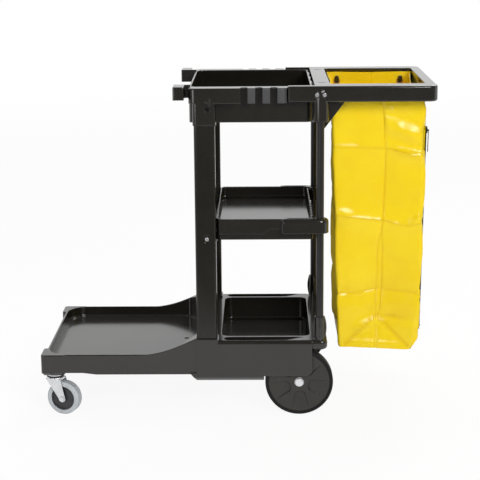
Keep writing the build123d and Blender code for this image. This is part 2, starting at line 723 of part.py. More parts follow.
def mid_shelf():
    """Shelf moulding: a shallow tub with rolled sides, a notched end wall and collars for the rear tubes."""
    shelf = slab(SHELF_X, SHELF_END, SHELF_HALF, SHELF_BASE_Z, SHELF_RIM_Z, 2 * FOOT_ROUND)
    shelf += both_sides(shelf_side_rim())
    shelf += both_sides(shelf_pad())
    ear = block(
        POST_X - EAR, SHELF_X + WALL / 2, POST_INNER - FIT - EAR, POST_INNER - FIT,
        SHELF_SCREW_Z - EAR_HEIGHT / 2, SHELF_SCREW_Z + EAR_HEIGHT / 2,
    )
    ear = fillet(ear.edges().filter_by(Axis.Y).group_by(Axis.X)[0], EAR_HEIGHT / 3)
    shelf += both_sides(ear)
    tub = slab(
        SHELF_X + WALL, SHELF_END - WALL, SHELF_HALF - WALL, SHELF_FLOOR_Z, SHELF_RIM_Z + 2 * WALL, FOOT_ROUND + WALL
    )
    shelf -= foot_round(tub, FOOT_ROUND)
    shelf -= shelf_hollow()
    pitch = 2 * (SHELF_HALF - 2 * SHELF_TOOTH_GAP) / (SHELF_TEETH - 1)
    for tooth in range(SHELF_TEETH):
        y = (tooth - (SHELF_TEETH - 1) / 2) * pitch
        shelf -= block(
            SHELF_END - 2 * WALL, SHELF_END + WALL, y - SHELF_TOOTH_GAP / 2, y + SHELF_TOOTH_GAP / 2,
            SHELF_RIM_Z - SHELF_TOOTH, SHELF_RIM_Z + WALL,
        )
    shelf -= tube_bores(SHELF_BASE_Z, SHELF_RIM_Z + 2 * PAD_RISE)
    shelf -= both_sides(shelf_screw_hole(SCREW_R + RUN))
    return shelf


def tray_flange(inset, z0, z1):
    """Flange of the top tray: wide at the front, and narrower between the arms of the bag frame."""
    wide = slab(TRAY_X + inset, ARM_X - FIT - inset, TRAY_HALF - inset, z0, z1, TRAY_ROUND)
    if inset == 0:
        wide = fillet(wide.faces().sort_by(Axis.Z)[-1].edges(), TRAY_EDGE)
    end = TRAY_END - TRAY_WAVE - inset
    narrow = block(BODY_X, end, inset + FIT - ARM_INNER, ARM_INNER - FIT - inset, z0, z1)
    return wide + narrow


def corner_hook():
    """Hook at a front corner of the tray: an arm with a wide hollow tip, its mouth open to the side."""
    top = TRAY_Z + HOOK_RISE
    z0 = top - HOOK_HEIGHT
    out = TRAY_X - HOOK_OUT
    root = TRAY_HALF - HOOK_REACH
    arm = block(out, TRAY_X + WALL, root, root + HOOK_ARM, z0, top)
    tip = block(out, out + HOOK_TIP, root, TRAY_HALF, z0, top)
    tip = fillet(tip.edges().filter_by(Axis.Z), WALL)
    tip = fillet(tip.faces().sort_by(Axis.Z)[-1].edges(), RIM_ROUND)
    tip -= block(out + WALL, out + HOOK_TIP - WALL, root + WALL, TRAY_HALF - WALL, z0, top - WALL)
    return arm + tip


def cleat():
    """Small cord cleat on the outer face of a post socket of the tray."""
    x = POST_X + CLEAT_SHIFT
    top = TRAY_Z - CLEAT_DROP
    half = CLEAT_WIDTH / 2
    middle = top - CLEAT_HEIGHT / 2
    face = TRAY_HALF - WALL / 2
    bar = block(x - half, x + half, face, TRAY_HALF + CLEAT_PROUD, top - CLEAT_HEIGHT, top)
    stub = block(x - CLEAT_STUB, x, face, TRAY_HALF + CLEAT_PROUD, middle - half, middle + half)
    return bar + stub


def wavy_rim():
    """Rim over the rear wall of the tray, with a waved edge."""
    half = ARM_INNER - 2 * WALL
    count = 4 * TRAY_WAVES
    points = []
    for step in range(count + 1):
        wave = TRAY_WAVE * (1 - cos(2 * pi * step * TRAY_WAVES / count)) / 2
        points.append((TRAY_END - wave, half - 2 * half * step / count))
    back = TRAY_END - TRAY_WAVE - WALL
    edge = Polyline(points[-1], (back, -half), (back, half), points[0])
    return Pos(0, 0, TRAY_Z - WALL) * extrude(make_face(Spline(*points) + edge), WALL)


def top_tray():
    """Upper bin under a deep flange, with holder notches, corner hooks and sockets for the front posts."""
    base_z = TRAY_Z - TRAY_DEEP
    tub_x = TRAY_X + TRAY_FRONT_WALL
    tub_end = TRAY_END - TRAY_WAVE - WALL
    tub = slab(TRAY_X, tub_end + WALL, TRAY_BIN_HALF + WALL, base_z, TRAY_Z - WALL, TRAY_ROUND)
    tray = tray_flange(0, TRAY_Z - TRAY_SKIRT, TRAY_Z)
    tray -= tray_flange(WALL, 0, TRAY_Z - WALL)
    tray += tub + wavy_rim()
    wall = FIT + TRAY_SOCKET_WALL
    socket = Pos(POST_X, POST_Y, TRAY_Z - TRAY_SOCKET) * extrude(post_section(wall), TRAY_SOCKET - WALL)
    tray += both_sides(socket)
    tray += both_sides(corner_hook()) + both_sides(cleat())
    inside = slab(tub_x, tub_end, TRAY_BIN_HALF, base_z + WALL, TRAY_Z + 2 * WALL, TRAY_ROUND)
    tray -= foot_round(inside, FOOT_ROUND)
    for notch in range(NOTCHES):
        x = POST_X + NOTCH_FIRST + notch * NOTCH_PITCH + NOTCH_WIDTH / 2
        inner = TRAY_HALF - NOTCH_DEEP + NOTCH_WIDTH / 2
        cut = Pos(x, inner, TRAY_Z) * Cylinder(NOTCH_WIDTH / 2, 3 * TRAY_SKIRT)
        cut += block(
            x - NOTCH_WIDTH / 2, x + NOTCH_WIDTH / 2, inner, TRAY_HALF + 1, TRAY_Z - 2 * TRAY_SKIRT, TRAY_Z + 1
        )
        tray -= both_sides(cut)
    tray -= post_bores(TRAY_Z - TRAY_SOCKET - 1, POST_TOP + FIT)
    tray -= both_sides(Pos(TUBE_X, TUBE_Y, TRAY_Z) * Cylinder(BOSS_R + FIT, 3 * TRAY_SKIRT))
    tray -= both_sides(tray_screw_hole(SCREW_R + FIT))
    seat_x = POST_X + TRAY_SCREW_SHIFT
    tray -= both_sides(rod(SCREW_HEAD_R + 1, TRAY_HALF - TRAY_SCREW_SEAT, HALF, seat_x, TRAY_SCREW_Z))
    return tray


def bag_hook():
    """Hook that takes an eyelet of the bag: a stub towards the bag with a round-cornered plate at its tip."""
    tip_y = OPEN_HALF - BAG_HOOK_OUT
    stub = rod(BAG_HOOK_R, tip_y, OPEN_HALF + WALL / 2, 0, BAG_HOOK_Z)
    outline = RectangleRounded(BAG_HOOK_WIDTH, BAG_HOOK_HEIGHT, BAG_HOOK_WIDTH / 3)
    rise = BAG_HOOK_HEIGHT / 2 - BAG_HOOK_R
    return stub + upright(Pos(0, BAG_HOOK_Z + rise) * outline, tip_y - BAG_HOOK_PLATE, tip_y)


def gusset():
    """Slanted web between the boss of a rear tube and the rail."""
    y1 = TUBE_Y - TUBE_D / 2 - FIT
    foot = FRAME_BASE_Z - GUSSET_DROP
    top = FRAME_Z - WALL / 2
    profile = Polygon(
        (TUBE_X, foot),
        (TUBE_X + GUSSET_FOOT, foot),
        (TUBE_X + GUSSET_OUT, FRAME_BASE_Z),
        (TUBE_X + GUSSET_OUT, top),
        (TUBE_X, top),
        align=None,
    )
    return upright(profile, y1 - WALL, y1)


def arm_groove():
    """Slanted groove across the outer face of an arm."""
    x = ARM_X + GROOVE_SET
    top = FRAME_Z - GROOVE_DROP
    foot = top - GROOVE_HEIGHT
    profile = Polygon(
        (x, top),
        (x + GROOVE_LEAN, foot),
        (x + GROOVE_LEAN + GROOVE_WIDTH, foot),
        (x + GROOVE_WIDTH, top),
        align=None,
    )
    return upright(profile, FRAME_HALF - GROOVE_DEEP, HALF)


def bag_frame():
    """Rail frame round the bag, hollow underneath, with arms beside the tray and bosses on the rear tubes."""
    frame = slab(ARM_X - FRAME_ROUND, REAR, FRAME_HALF, FRAME_BASE_Z, FRAME_Z, FRAME_ROUND)
    frame = fillet(frame.faces().filter_by(Axis.Z).edges(), FRAME_EDGE)
    frame -= block(ARM_X - 2 * FRAME_ROUND, ARM_X, -HALF, HALF, 0, 2 * FRAME_Z)
    frame -= block(ARM_X - 1, DECK_X, -ARM_INNER, ARM_INNER, 0, 2 * FRAME_Z)
    hollow = block(ARM_X + WALL, REAR - FRAME_ROUND, WALL - FRAME_HALF, FRAME_HALF - WALL, 0, FRAME_Z - WALL)
    hollow += slab(ARM_X, REAR - WALL, FRAME_HALF - WALL, 0, FRAME_Z - WALL, FRAME_ROUND - WALL)
    hollow -= block(0, ARM_X + WALL, -HALF, HALF, 0, FRAME_Z)
    hollow -= block(0, DECK_X + WALL, -ARM_INNER - WALL, ARM_INNER + WALL, 0, FRAME_Z)
    hollow -= slab(
        OPEN_X - WALL, OPEN_END + WALL, OPEN_HALF + WALL, 0, FRAME_Z, OPENING_ROUND + WALL
    )
    frame -= hollow
    boss = Pos(TUBE_X, TUBE_Y, FRAME_Z - WALL - BOSS_DOME / 2) * Cylinder(
        BOSS_R, BOSS_LENGTH, align=(Align.CENTER, Align.CENTER, Align.MAX)
    )
    boss = fillet(boss.edges().group_by(Axis.Z)[-1], BOSS_DOME)
    boss = fillet(boss.edges().group_by(Axis.Z)[0], RIM_ROUND)
    frame += both_sides(boss) + both_sides(gusset())
    frame -= slab(OPEN_X, OPEN_END, OPEN_HALF, 0, 2 * FRAME_Z, OPENING_ROUND)
    for x in (BAG_HOOK_X, BAG_HOOK_X + BAG_HOOK_PITCH):
        frame += both_sides(Pos(x, 0, 0) * bag_hook())
    slot = Pos((DECK_X + OPEN_X) / 2, DECK_SLOT_Y, FRAME_Z - 2 * WALL) * extrude(
        SlotOverall(DECK_SLOT, DECK_SLOT_WIDTH), 3 * WALL
    )
    frame -= both_sides(slot) + both_sides(arm_groove())
    frame -= tube_bores(0, TUBE_TOP + FIT)
    for x in frame_screw_places():
        frame -= both_sides(rod(SCREW_R + FIT, TUBE_Y, HALF + 1, x, FRAME_SCREW_Z))
        frame -= both_sides(rod(SCREW_HEAD_R + 1, FRAME_HALF - SCREW_RECESS, HALF + 1, x, FRAME_SCREW_Z))
    return frame


def frame_screw_places():
    """The two screws of an arm, one each side of its boss's middle plane."""
    return (TUBE_X - FRAME_SCREW_PITCH / 2, TUBE_X + FRAME_SCREW_PITCH / 2)


def shelf_screws():
    """Long screws through the front posts into the ears of the shelf."""
    length = POST_OUTER - SCREW_RECESS - POST_INNER + EAR / 2
    one = Pos(POST_X + SHELF_SCREW_SHIFT, POST_OUTER - SCREW_RECESS + RUN, SHELF_SCREW_Z) * screw(length)
    return both_sides(one)


def tray_screws():
    """Screws through the tray's sockets into the front posts."""
    seat = TRAY_HALF - TRAY_SCREW_SEAT + RUN
    return both_sides(Pos(POST_X + TRAY_SCREW_SHIFT, seat, TRAY_SCREW_Z) * screw(seat - POST_Y - POST_WALL))


def frame_screws():
    """Screws in the arms of the bag frame, beside the rear tubes."""
    group = Part()
    for x in frame_screw_places():
        seat = FRAME_HALF - SCREW_RECESS + RUN
        group += both_sides(Pos(x, seat, FRAME_SCREW_Z) * screw(FRAME_SCREW_LENGTH))
    return group


def rear_axle():
    """Steel axle, from cap to cap."""
    end = HUB_FRONT + 2 * FIT + WASHER + CAP_HEIGHT / 2
    return rod(AXLE_D / 2, -end, end, AXLE_X, AXLE_Z)


def axle_washers():
    """A long spacer inside each wheel and a thin washer outside it."""
    bore = AXLE_D / 2 + RUN
    pair = tube_of(BUSH_R + WALL, bore, HANGER_FACE + FIT, HUB_BACK - FIT, AXLE_X, AXLE_Z)
    pair += tube_of(BUSH_R + WALL, bore, HUB_FRONT + FIT, HUB_FRONT + FIT + WASHER, AXLE_X, AXLE_Z)
    return both_sides(pair)


def axle_caps():
    """Domed push-on caps on the axle ends."""
    start = HUB_FRONT + 2 * FIT + WASHER
    cap = rod(CAP_R, start, start + CAP_HEIGHT, AXLE_X, AXLE_Z)
    cap = fillet(cap.edges().sort_by(Axis.Y)[-1], CAP_ROUND)
    cap -= rod(AXLE_D / 2 + RUN, start, start + CAP_HEIGHT / 2 + RUN, AXLE_X, AXLE_Z)
    return both_sides(cap)


def rear_tyre(side):
    """Rubber ring of a rear wheel, with rounded shoulders."""
    ring = tube_of(WHEEL_D / 2, TYRE_BORE_R, WHEEL_BACK, WHEEL_FACE, AXLE_X, AXLE_Z)
    ring = fillet(ring.edges().filter_by(GeomType.CIRCLE).sort_by(lambda e: e.radius)[-2:], TYRE_ROUND)
    return on_side(ring, side)


def wheel_pocket():
    """Cutter for one spoke pocket of a wheel: deep and round near the hub, and running out at the rim."""
    near = HUB_R + 2 * WALL
    far = TYRE_BORE_R - WHEEL_RIM
    tilt = degrees(atan2(POCKET_DEEP, far - near))
    mouth = POCKET_MOUTH / 2
    root = POCKET_ROOT / 2
    outline = Polygon((near - far, -root), (0, -mouth), (0, mouth), (near - far, root), align=None)
    outline = fillet(outline.vertices().group_by(Axis.X)[0], POCKET_BLEND * root)
    cutter = Rot(0, -tilt, 0) * extrude(outline, 2 * POCKET_DEEP)
    return Pos(far, 0, 0) * cutter


def rear_core(side):
    """Moulded wheel centre: hub, closed disc with five ramped pockets, rim, and ribs behind the disc."""
    rim_r = TYRE_BORE_R - RUN
    rim = tube_of(rim_r, rim_r - WHEEL_RIM, WHEEL_BACK + FACE_SET, HUB_FRONT, AXLE_X, AXLE_Z)
    hub = rod(HUB_R, HUB_BACK, HUB_FRONT, AXLE_X, AXLE_Z)
    disc = rod(rim_r - WHEEL_RIM / 2, HUB_FRONT - WHEEL_DISC, HUB_FRONT, AXLE_X, AXLE_Z)
    core = rim + hub + disc
    for spoke in range(POCKETS):
        turn = Pos(AXLE_X, 0, AXLE_Z) * Rot(0, 360 * spoke / POCKETS + POCKET_TURN, 0)
        rib = block(
            HUB_R - 1, rim_r - WHEEL_RIM / 2, WHEEL_BACK + 4 * FACE_SET, HUB_FRONT - 1, -RIB / 2, RIB / 2
        )
        core += turn * rib
        core -= turn * Pos(0, HUB_FRONT, 0) * Rot(-90, 0, 0) * wheel_pocket()
    core -= rod(BUSH_R + RUN, HUB_BACK - 1, HUB_FRONT + 1, AXLE_X, AXLE_Z)
    return on_side(core, side)


def rear_bush(side):
    """Plain bearing pressed into a wheel hub."""
    return on_side(tube_of(BUSH_R, AXLE_D / 2 + RUN, HUB_BACK, HUB_FRONT, AXLE_X, AXLE_Z), side)


def caster_place(side):
    """Where a caster stands, turned to its angle at rest: its trail is along its own X."""
    return Pos(SWIVEL_X, side * SWIVEL_Y, 0) * Rot(0, 0, CASTER_ANGLE)


def disc_at(radius, z0, z1):
    """Round plate on the swivel axis."""
    return Pos(0, 0, (z0 + z1) / 2) * Cylinder(radius, z1 - z0)


def caster_stem(side):
    """Stem, upper race and king pin, fixed in the base."""
    stem = disc_at(STEM_R, RACE_TOP - 1, STEM_TOP - FIT)
    stem = chamfer(stem.edges().group_by(Axis.Z)[-1], STEM_R / 3)
    race = fillet(disc_at(RACE_R, RACE_Z, RACE_TOP).edges(), RACE_HEIGHT / 4)
    pin = disc_at(KING_PIN_R, CROWN_Z - KING_HEAD, RACE_Z + 1)
    head = chamfer(disc_at(KING_HEAD_R, CROWN_Z - KING_HEAD, CROWN_Z - FIT).edges().group_by(Axis.Z)[0], 1)
    return caster_place(side) * (stem + race + pin + head)


def caster_sockets():
    """Flanged sleeves in the caster blocks that grip the stems."""
    sleeve = disc_at(STEM_SLEEVE_R, SLEEVE_Z, STEM_TOP)
    sleeve += disc_at(SLEEVE_FLANGE_R, SLEEVE_Z, BLOCK_Z - RUN)
    sleeve -= disc_at(STEM_R + RUN, SLEEVE_Z - 1, STEM_TOP + 1)
    return both_sides(Pos(SWIVEL_X, SWIVEL_Y, 0) * sleeve)


def caster_seal(side):
    """Dust seal between the fork and the upper race."""
    seal = disc_at(CROWN_R - 1, CROWN_TOP, CROWN_TOP + SEAL_HEIGHT)
    seal = fillet(seal.edges().group_by(Axis.Z)[-1], SEAL_HEIGHT / 3)
    seal -= disc_at(SEAL_BORE_R, CROWN_TOP - 1, CROWN_TOP + SEAL_HEIGHT + 1)
    return caster_place(side) * seal


def caster_fork(side):
    """Pressed fork: round crown with two tapered legs."""
    leg_y = LEG_GAP / 2
    wheel_z = CASTER_D / 2
    top = CROWN_Z + FORK_PLATE
    crown = disc_at(CROWN_R, top - FORK_PLATE / 2, CROWN_TOP)
    crown = fillet(crown.edges().group_by(Axis.Z)[-1], CROWN_HEIGHT / 3)
    plate = RectangleRounded(2 * CROWN_R - 4, LEG_GAP + 2 * FORK_PLATE, CROWN_R / 3)
    fork = crown + Pos(0, 0, CROWN_Z) * extrude(plate, FORK_PLATE)
    leg = Polygon(
        (CASTER_TRAIL - LEG_TIP_R, wheel_z),
        (CASTER_TRAIL + LEG_TIP_R, wheel_z),
        (LEG_TOP_BACK, top),
        (-LEG_TOP_FRONT, top),
        align=None,
    )
    leg = leg + Pos(CASTER_TRAIL, wheel_z) * Circle(LEG_TIP_R)
    fork += both_sides(upright(leg, leg_y, leg_y + FORK_PLATE))
    fork -= rod(CASTER_BOLT_D / 2 + RUN, -CROWN_R, CROWN_R, CASTER_TRAIL, wheel_z)
    fork -= disc_at(KING_PIN_R + RUN, CROWN_Z - 1, CROWN_TOP + 1)
    return caster_place(side) * fork


def caster_axle(side):
    """Hex-head bolt through the fork."""
    outer = LEG_GAP / 2 + FORK_PLATE
    z = CASTER_D / 2
    head = Plane.XZ * RegularPolygon(HEX_R, 6)
    bolt = Pos(CASTER_TRAIL, -outer - FIT, z) * extrude(head, BOLT_HEAD)
    bolt += rod(CASTER_BOLT_D / 2, -outer - 2 * FIT, outer + CASTER_BOLT_D, CASTER_TRAIL, z)
    return caster_place(side) * bolt


def caster_nut(side):
    """Lock nut on the fork bolt."""
    outer = LEG_GAP / 2 + FORK_PLATE + FIT
    flats = RegularPolygon(HEX_R, 6) - Circle(CASTER_BOLT_D / 2 + RUN)
    nut = Pos(CASTER_TRAIL, outer + NUT_HEIGHT, CASTER_D / 2) * extrude(Plane.XZ * flats, NUT_HEIGHT)
    return caster_place(side) * nut


def caster_sleeve(side):
    """Spacer between the fork legs, on which the wheel turns."""
    reach = LEG_GAP / 2 - RUN
    sleeve = tube_of(CASTER_SLEEVE_R, CASTER_BOLT_D / 2 + RUN, -reach, reach, CASTER_TRAIL, CASTER_D / 2)
    return caster_place(side) * sleeve


def caster_core(side):
    """Moulded centre of a caster wheel: hub, dished web and rim."""
    z = CASTER_D / 2
    tread = CASTER_TREAD / 2
    hub_reach = LEG_GAP / 2 - CORE_SET
    rim_r = CASTER_CORE_R - RUN
    core = rod(rim_r, CORE_SET - tread, tread - CORE_SET, CASTER_TRAIL, z)
    dish = tube_of(rim_r - WALL, CASTER_HUB_R, tread - WALL, tread, CASTER_TRAIL, z)
    core -= both_sides(dish)
    core += rod(CASTER_HUB_R, -hub_reach, hub_reach, CASTER_TRAIL, z)
    core -= rod(CASTER_SLEEVE_R + RUN, -LEG_GAP, LEG_GAP, CASTER_TRAIL, z)
    return caster_place(side) * core


def caster_tyre(side):
    """Grey tread of a caster wheel."""
    half = CASTER_TREAD / 2
    ring = tube_of(CASTER_D / 2, CASTER_CORE_R, -half, half, CASTER_TRAIL, CASTER_D / 2)
    outer = ring.edges().filter_by(GeomType.CIRCLE).sort_by(lambda e: e.radius)[-2:]
    return caster_place(side) * fillet(outer, TYRE_ROUND)


def bag_half(z):
    """Half width of the bag at a height."""
    return BAG_HALF - BAG_TAPER_Y * (BAG_TOP - z) / BAG_HEIGHT


def bag_section(z, rear, inset):
    """Section of the bag at a height, from its slanted front to the rear given, drawn in by an inset."""
    x0 = BAG_X + BAG_FRONT_TAPER * (BAG_TOP - z) / BAG_HEIGHT + inset
    x1 = rear - inset
    plan = RectangleRounded(x1 - x0, 2 * (bag_half(z) - inset), BAG_ROUND - inset)
    return Pos((x0 + x1) / 2, 0, z) * plan


def bag_shape(foot, top, inset):
    """Bag from its foot over a shoulder under the frame to its neck and top."""
    rear = SHOULDER_X - BAG_REAR_TAPER
    sections = [
        bag_section(foot, rear, inset),
        bag_section(SHOULDER_Z, SHOULDER_X, inset),
        bag_section(NECK_Z, BAG_END, inset),
        bag_section(top, BAG_END, inset),
    ]
    return loft(sections, ruled=True)


def bag_body():
    """Vinyl bag: open at the top, leaning in towards its foot, with a hole for each hook."""
    bag = bag_shape(BAG_BASE, BAG_TOP, 0) - bag_shape(BAG_BASE + BAG_WALL, BAG_TOP + 1, BAG_WALL)
    for x in (BAG_HOOK_X, BAG_HOOK_X + BAG_HOOK_PITCH):
        bag -= rod(EYELET_R, -HALF, HALF, x, EYELET_Z)
    return bag


def bag_eyelets():
    """Rings that line the hook holes of the bag and hang on the hooks."""
    wall_out = bag_half(EYELET_Z)
    wall_in = wall_out - BAG_WALL
    out = wall_out + FIT + EYELET_PLATE
    back = wall_in - FIT - EYELET_PLATE
    group = Part()
    for x in (BAG_HOOK_X, BAG_HOOK_X + BAG_HOOK_PITCH):
        flange_r = EYELET_R + EYELET_FLANGE
        ring = rod(EYELET_R - FIT, back, out, x, EYELET_Z)
        ring += rod(flange_r, wall_out + FIT, out, x, EYELET_Z)
        ring += rod(flange_r, back, wall_in - FIT, x, EYELET_Z)
        ring -= rod(EYELET_BORE_R, 0, HALF, x, EYELET_Z)
        group += both_sides(ring)
    return group


def zip_plane():
    """Plane on the end face of the bag at the top of the zip: its Y runs up the face and its Z points out."""
    z = BAG_TOP - ZIP_DROP
    x = SHOULDER_X - REAR_LEAN * (SHOULDER_Z - z)
    slant = hypot(1, REAR_LEAN)
    return Plane(origin=(x, ZIP_SET - BAG_HALF, z), x_dir=(0, 1, 0), z_dir=(1 / slant, 0, -REAR_LEAN / slant))


def zip_block(width, y0, y1, z0, z1):
    """Block on the zip's middle line, from y0 to y1 along it and from z0 to z1 out of the bag."""
    return Pos(0, (y0 + y1) / 2, (z0 + z1) / 2) * Box(width, y1 - y0, z1 - z0)


def zipper_tape():
    """Tape of the zip with its closed row of teeth."""
    tape = zip_block(ZIP_TAPE, -ZIP_LENGTH, 0, FIT, FIT + ZIP_TAPE_THICK)
    coil_top = FIT + ZIP_TAPE_THICK + ZIP_COIL_THICK
    coil = zip_block(ZIP_COIL, -ZIP_LENGTH + SLIDER_LENGTH / 2, 0, FIT, coil_top)
    coil = fillet(coil.edges().filter_by(Axis.Y).group_by(Axis.Z)[-1], ZIP_COIL_THICK / 3)
    return zip_plane() * (tape + coil)


def zipper_stops():
    """Stops at the two ends of the row of teeth."""
    z0 = FIT + ZIP_TAPE_THICK + ZIP_COIL_THICK
    stop = zip_block(ZIP_COIL + 2, -PIN_R * 2, 0, z0 + RUN, z0 + RUN + PIN_R)
    foot = Pos(0, SLIDER_LENGTH / 2 - ZIP_LENGTH + PIN_R * 2, 0) * stop
    return zip_plane() * (stop + foot)


def slider_body():
    """Slider round the row of teeth, with lugs for the pull, drawn with its top at the zip's top."""
    coil_top = FIT + ZIP_TAPE_THICK + ZIP_COIL_THICK
    foot = FIT + ZIP_TAPE_THICK + FIT
    y1 = -SLIDER_DROP
    y0 = y1 - SLIDER_LENGTH
    top = coil_top + FIT + SLIDER_PLATE
    body = zip_block(SLIDER_WIDTH, y0, y1, foot, top)
    body = fillet(body.edges().filter_by(Axis.Z), SLIDER_PLATE)
    body -= zip_block(ZIP_COIL + 2 * FIT, y0 - 1, y1 + 1, 0, coil_top + FIT)
    middle = (y0 + y1) / 2
    lug = zip_block(SLIDER_PLATE, middle - 2 * PIN_R, middle + 2 * PIN_R, top - 0.5, top + 4 * PIN_R)
    shift = PULL_WIDTH / 2 - SLIDER_PLATE / 2
    body += Pos(shift, 0, 0) * lug + Pos(-shift, 0, 0) * lug
    pin = Pos(0, middle, top + PIN_RISE) * Rot(0, 90, 0) * Cylinder(PIN_R, PULL_WIDTH)
    return body + pin


def pull_tab():
    """Pull tab that hangs from the pin of the slider."""
    coil_top = FIT + ZIP_TAPE_THICK + ZIP_COIL_THICK
    pin_z = coil_top + FIT + SLIDER_PLATE + PIN_RISE
    pin_y = -SLIDER_DROP - SLIDER_LENGTH / 2
    eye_width = PULL_WIDTH - 2 * SLIDER_PLATE - 2 * FIT
    eye = Rot(0, 90, 0) * (Cylinder(PIN_R + PULL_THICK / 2 + RUN, eye_width) - Cylinder(PIN_R + RUN, eye_width))
    neck_top = -PIN_R - RUN - PULL_THICK / 4
    tab = zip_block(eye_width, neck_top - 3 * PULL_THICK, neck_top, -PULL_THICK / 2, PULL_THICK / 2)
    blade = zip_block(PULL_WIDTH, -PULL_LENGTH, neck_top - 2 * PULL_THICK, -PULL_THICK / 2, PULL_THICK / 2)
    blade = fillet(blade.edges().filter_by(Axis.Z).group_by(Axis.Y)[0], PULL_WIDTH / 2.5)
    blade -= Pos(0, 0.3 * PULL_LENGTH - PULL_LENGTH, 0) * Cylinder(PULL_WIDTH / 4, 2 * PULL_THICK)
    return Pos(0, pin_y, pin_z) * (eye + tab + blade)


def zipper_slider():
    """Slider on the zip."""
    return zip_plane() * slider_body()


def zipper_pull():
    """Pull tab on the slider."""
    return zip_plane() * pull_tab()


SINGLE_PIECES = [
    base_platform, mid_shelf, top_tray, bag_frame, rear_axle, axle_washers, axle_caps, shelf_screws, tray_screws,
    frame_screws, caster_sockets, bag_body, bag_eyelets, zipper_tape, zipper_stops, zipper_slider, zipper_pull,
]
SIDED_PIECES = [
    front_post, rear_post, rear_core, rear_tyre, rear_bush, caster_stem, caster_seal, caster_fork, caster_axle,
    caster_nut, caster_sleeve, caster_core, caster_tyre,
]

os.makedirs("parts", exist_ok=True)
for piece in SINGLE_PIECES:
    export_step(piece(), f"parts/{piece.__name__}.step")
for piece in SIDED_PIECES:
    for name, side in SIDES.items():
        export_step(piece(side), f"parts/{piece.__name__}_{name}.step")
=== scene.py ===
# %% [markdown]
# # A janitorial cart
# The cart's hard parts come from its CAD model. They are loaded as a fixed frame, in metres, with +Z up:
# the platform lies towards -X, the bag hangs at +X, and the camera stands at -Y.
# What is left for Blender is what solids can't show: the soft bag, the teeth of its zip and the finishes.

# %% Load the frame
import math

import bpy
from mathutils import Matrix, Vector, noise


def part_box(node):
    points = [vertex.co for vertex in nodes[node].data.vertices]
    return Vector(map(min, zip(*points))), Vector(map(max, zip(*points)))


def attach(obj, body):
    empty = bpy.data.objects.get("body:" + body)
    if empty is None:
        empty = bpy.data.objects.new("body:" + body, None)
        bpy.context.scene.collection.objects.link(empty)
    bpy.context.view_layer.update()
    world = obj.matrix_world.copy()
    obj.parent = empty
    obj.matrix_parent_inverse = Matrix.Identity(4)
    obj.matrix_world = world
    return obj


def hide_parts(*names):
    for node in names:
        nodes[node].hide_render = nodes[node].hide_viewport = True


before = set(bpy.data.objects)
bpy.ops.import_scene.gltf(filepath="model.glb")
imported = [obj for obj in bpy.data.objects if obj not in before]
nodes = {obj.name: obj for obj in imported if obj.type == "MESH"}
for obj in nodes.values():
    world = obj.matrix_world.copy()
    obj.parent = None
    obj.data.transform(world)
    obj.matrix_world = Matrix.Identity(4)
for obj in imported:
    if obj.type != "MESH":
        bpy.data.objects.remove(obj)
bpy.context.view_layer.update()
bpy.ops.object.select_all(action="DESELECT")

# %% [markdown]
# ## The camera
# A photograph fixes its camera: the length, the width and the wheels of the cart were measured in the
# picture, and the one place, turn and focal length that put them all where they are was worked out.
# The camera's axes are built by hand, because its small roll isn't easily given as a target to look at.

# %% Camera
PHOTO_WIDTH, FOCAL_PIXELS = 480, 1412.8
SENSOR = 36
EYE_PLACE = (0.0830, -4.3029, 1.4590)
YAW, PITCH, ROLL = (math.radians(degrees) for degrees in (0.978, 12.833, -0.481))

ahead = Vector((-math.sin(YAW) * math.cos(PITCH), math.cos(YAW) * math.cos(PITCH), -math.sin(PITCH)))
level = Vector((math.cos(YAW), math.sin(YAW), 0))
above = level.cross(ahead)
right = level * math.cos(ROLL) + above * math.sin(ROLL)
top = above * math.cos(ROLL) - level * math.sin(ROLL)

eye = bpy.data.objects.new("eye", bpy.data.cameras.new("eye"))
bpy.context.collection.objects.link(eye)
eye.data.sensor_width = SENSOR
eye.data.lens = SENSOR * FOCAL_PIXELS / PHOTO_WIDTH
turn = Matrix((right, top, -ahead)).transposed().to_4x4()
eye.matrix_world = Matrix.Translation(EYE_PLACE) @ turn
bpy.context.scene.camera = eye
bpy.context.scene.view_settings.view_transform = "Standard"
print("lens:", round(eye.data.lens, 2))

# %% [markdown]
# ## The background
# The photograph is a cut-out on white: there is white paper behind and under the cart, and a dim room behind
# the camera. So the world has two lights, the room and the paper, and the next step says who sees which.

# %% World
ROOM_LIGHT, PAPER_LIGHT = 0.22, 1.0
WHITE = (1, 1, 1, 1)


def shader_tree(owner):
    """Empties an owner's node tree and returns its nodes, its links and its output."""
    owner.use_nodes = True
    tree = owner.node_tree
    tree.nodes.clear()
    kind = "ShaderNodeOutputWorld" if isinstance(owner, bpy.types.World) else "ShaderNodeOutputMaterial"
    return tree.nodes, tree.links, tree.nodes.new(kind)


world = bpy.data.worlds.new("studio")
bpy.context.scene.world = world
made, links, out = shader_tree(world)
room = made.new("ShaderNodeBackground")
room.inputs["Strength"].default_value = ROOM_LIGHT
backdrop = made.new("ShaderNodeBackground")
backdrop.inputs["Color"].default_value = WHITE
backdrop.inputs["Strength"].default_value = PAPER_LIGHT
print("world:", world.name)

# %% [markdown]
# The camera always sees the paper as white. Mirrors see it where it is, towards +Y, so level tops come out
# pale, and upright faces, which mirror the dim room, stay black.
# Light Path tells these kinds of rays apart, and the same masks serve the floor later on.

# %% Paper in the world
PAPER_TURNS = (-0.3, 0.2)


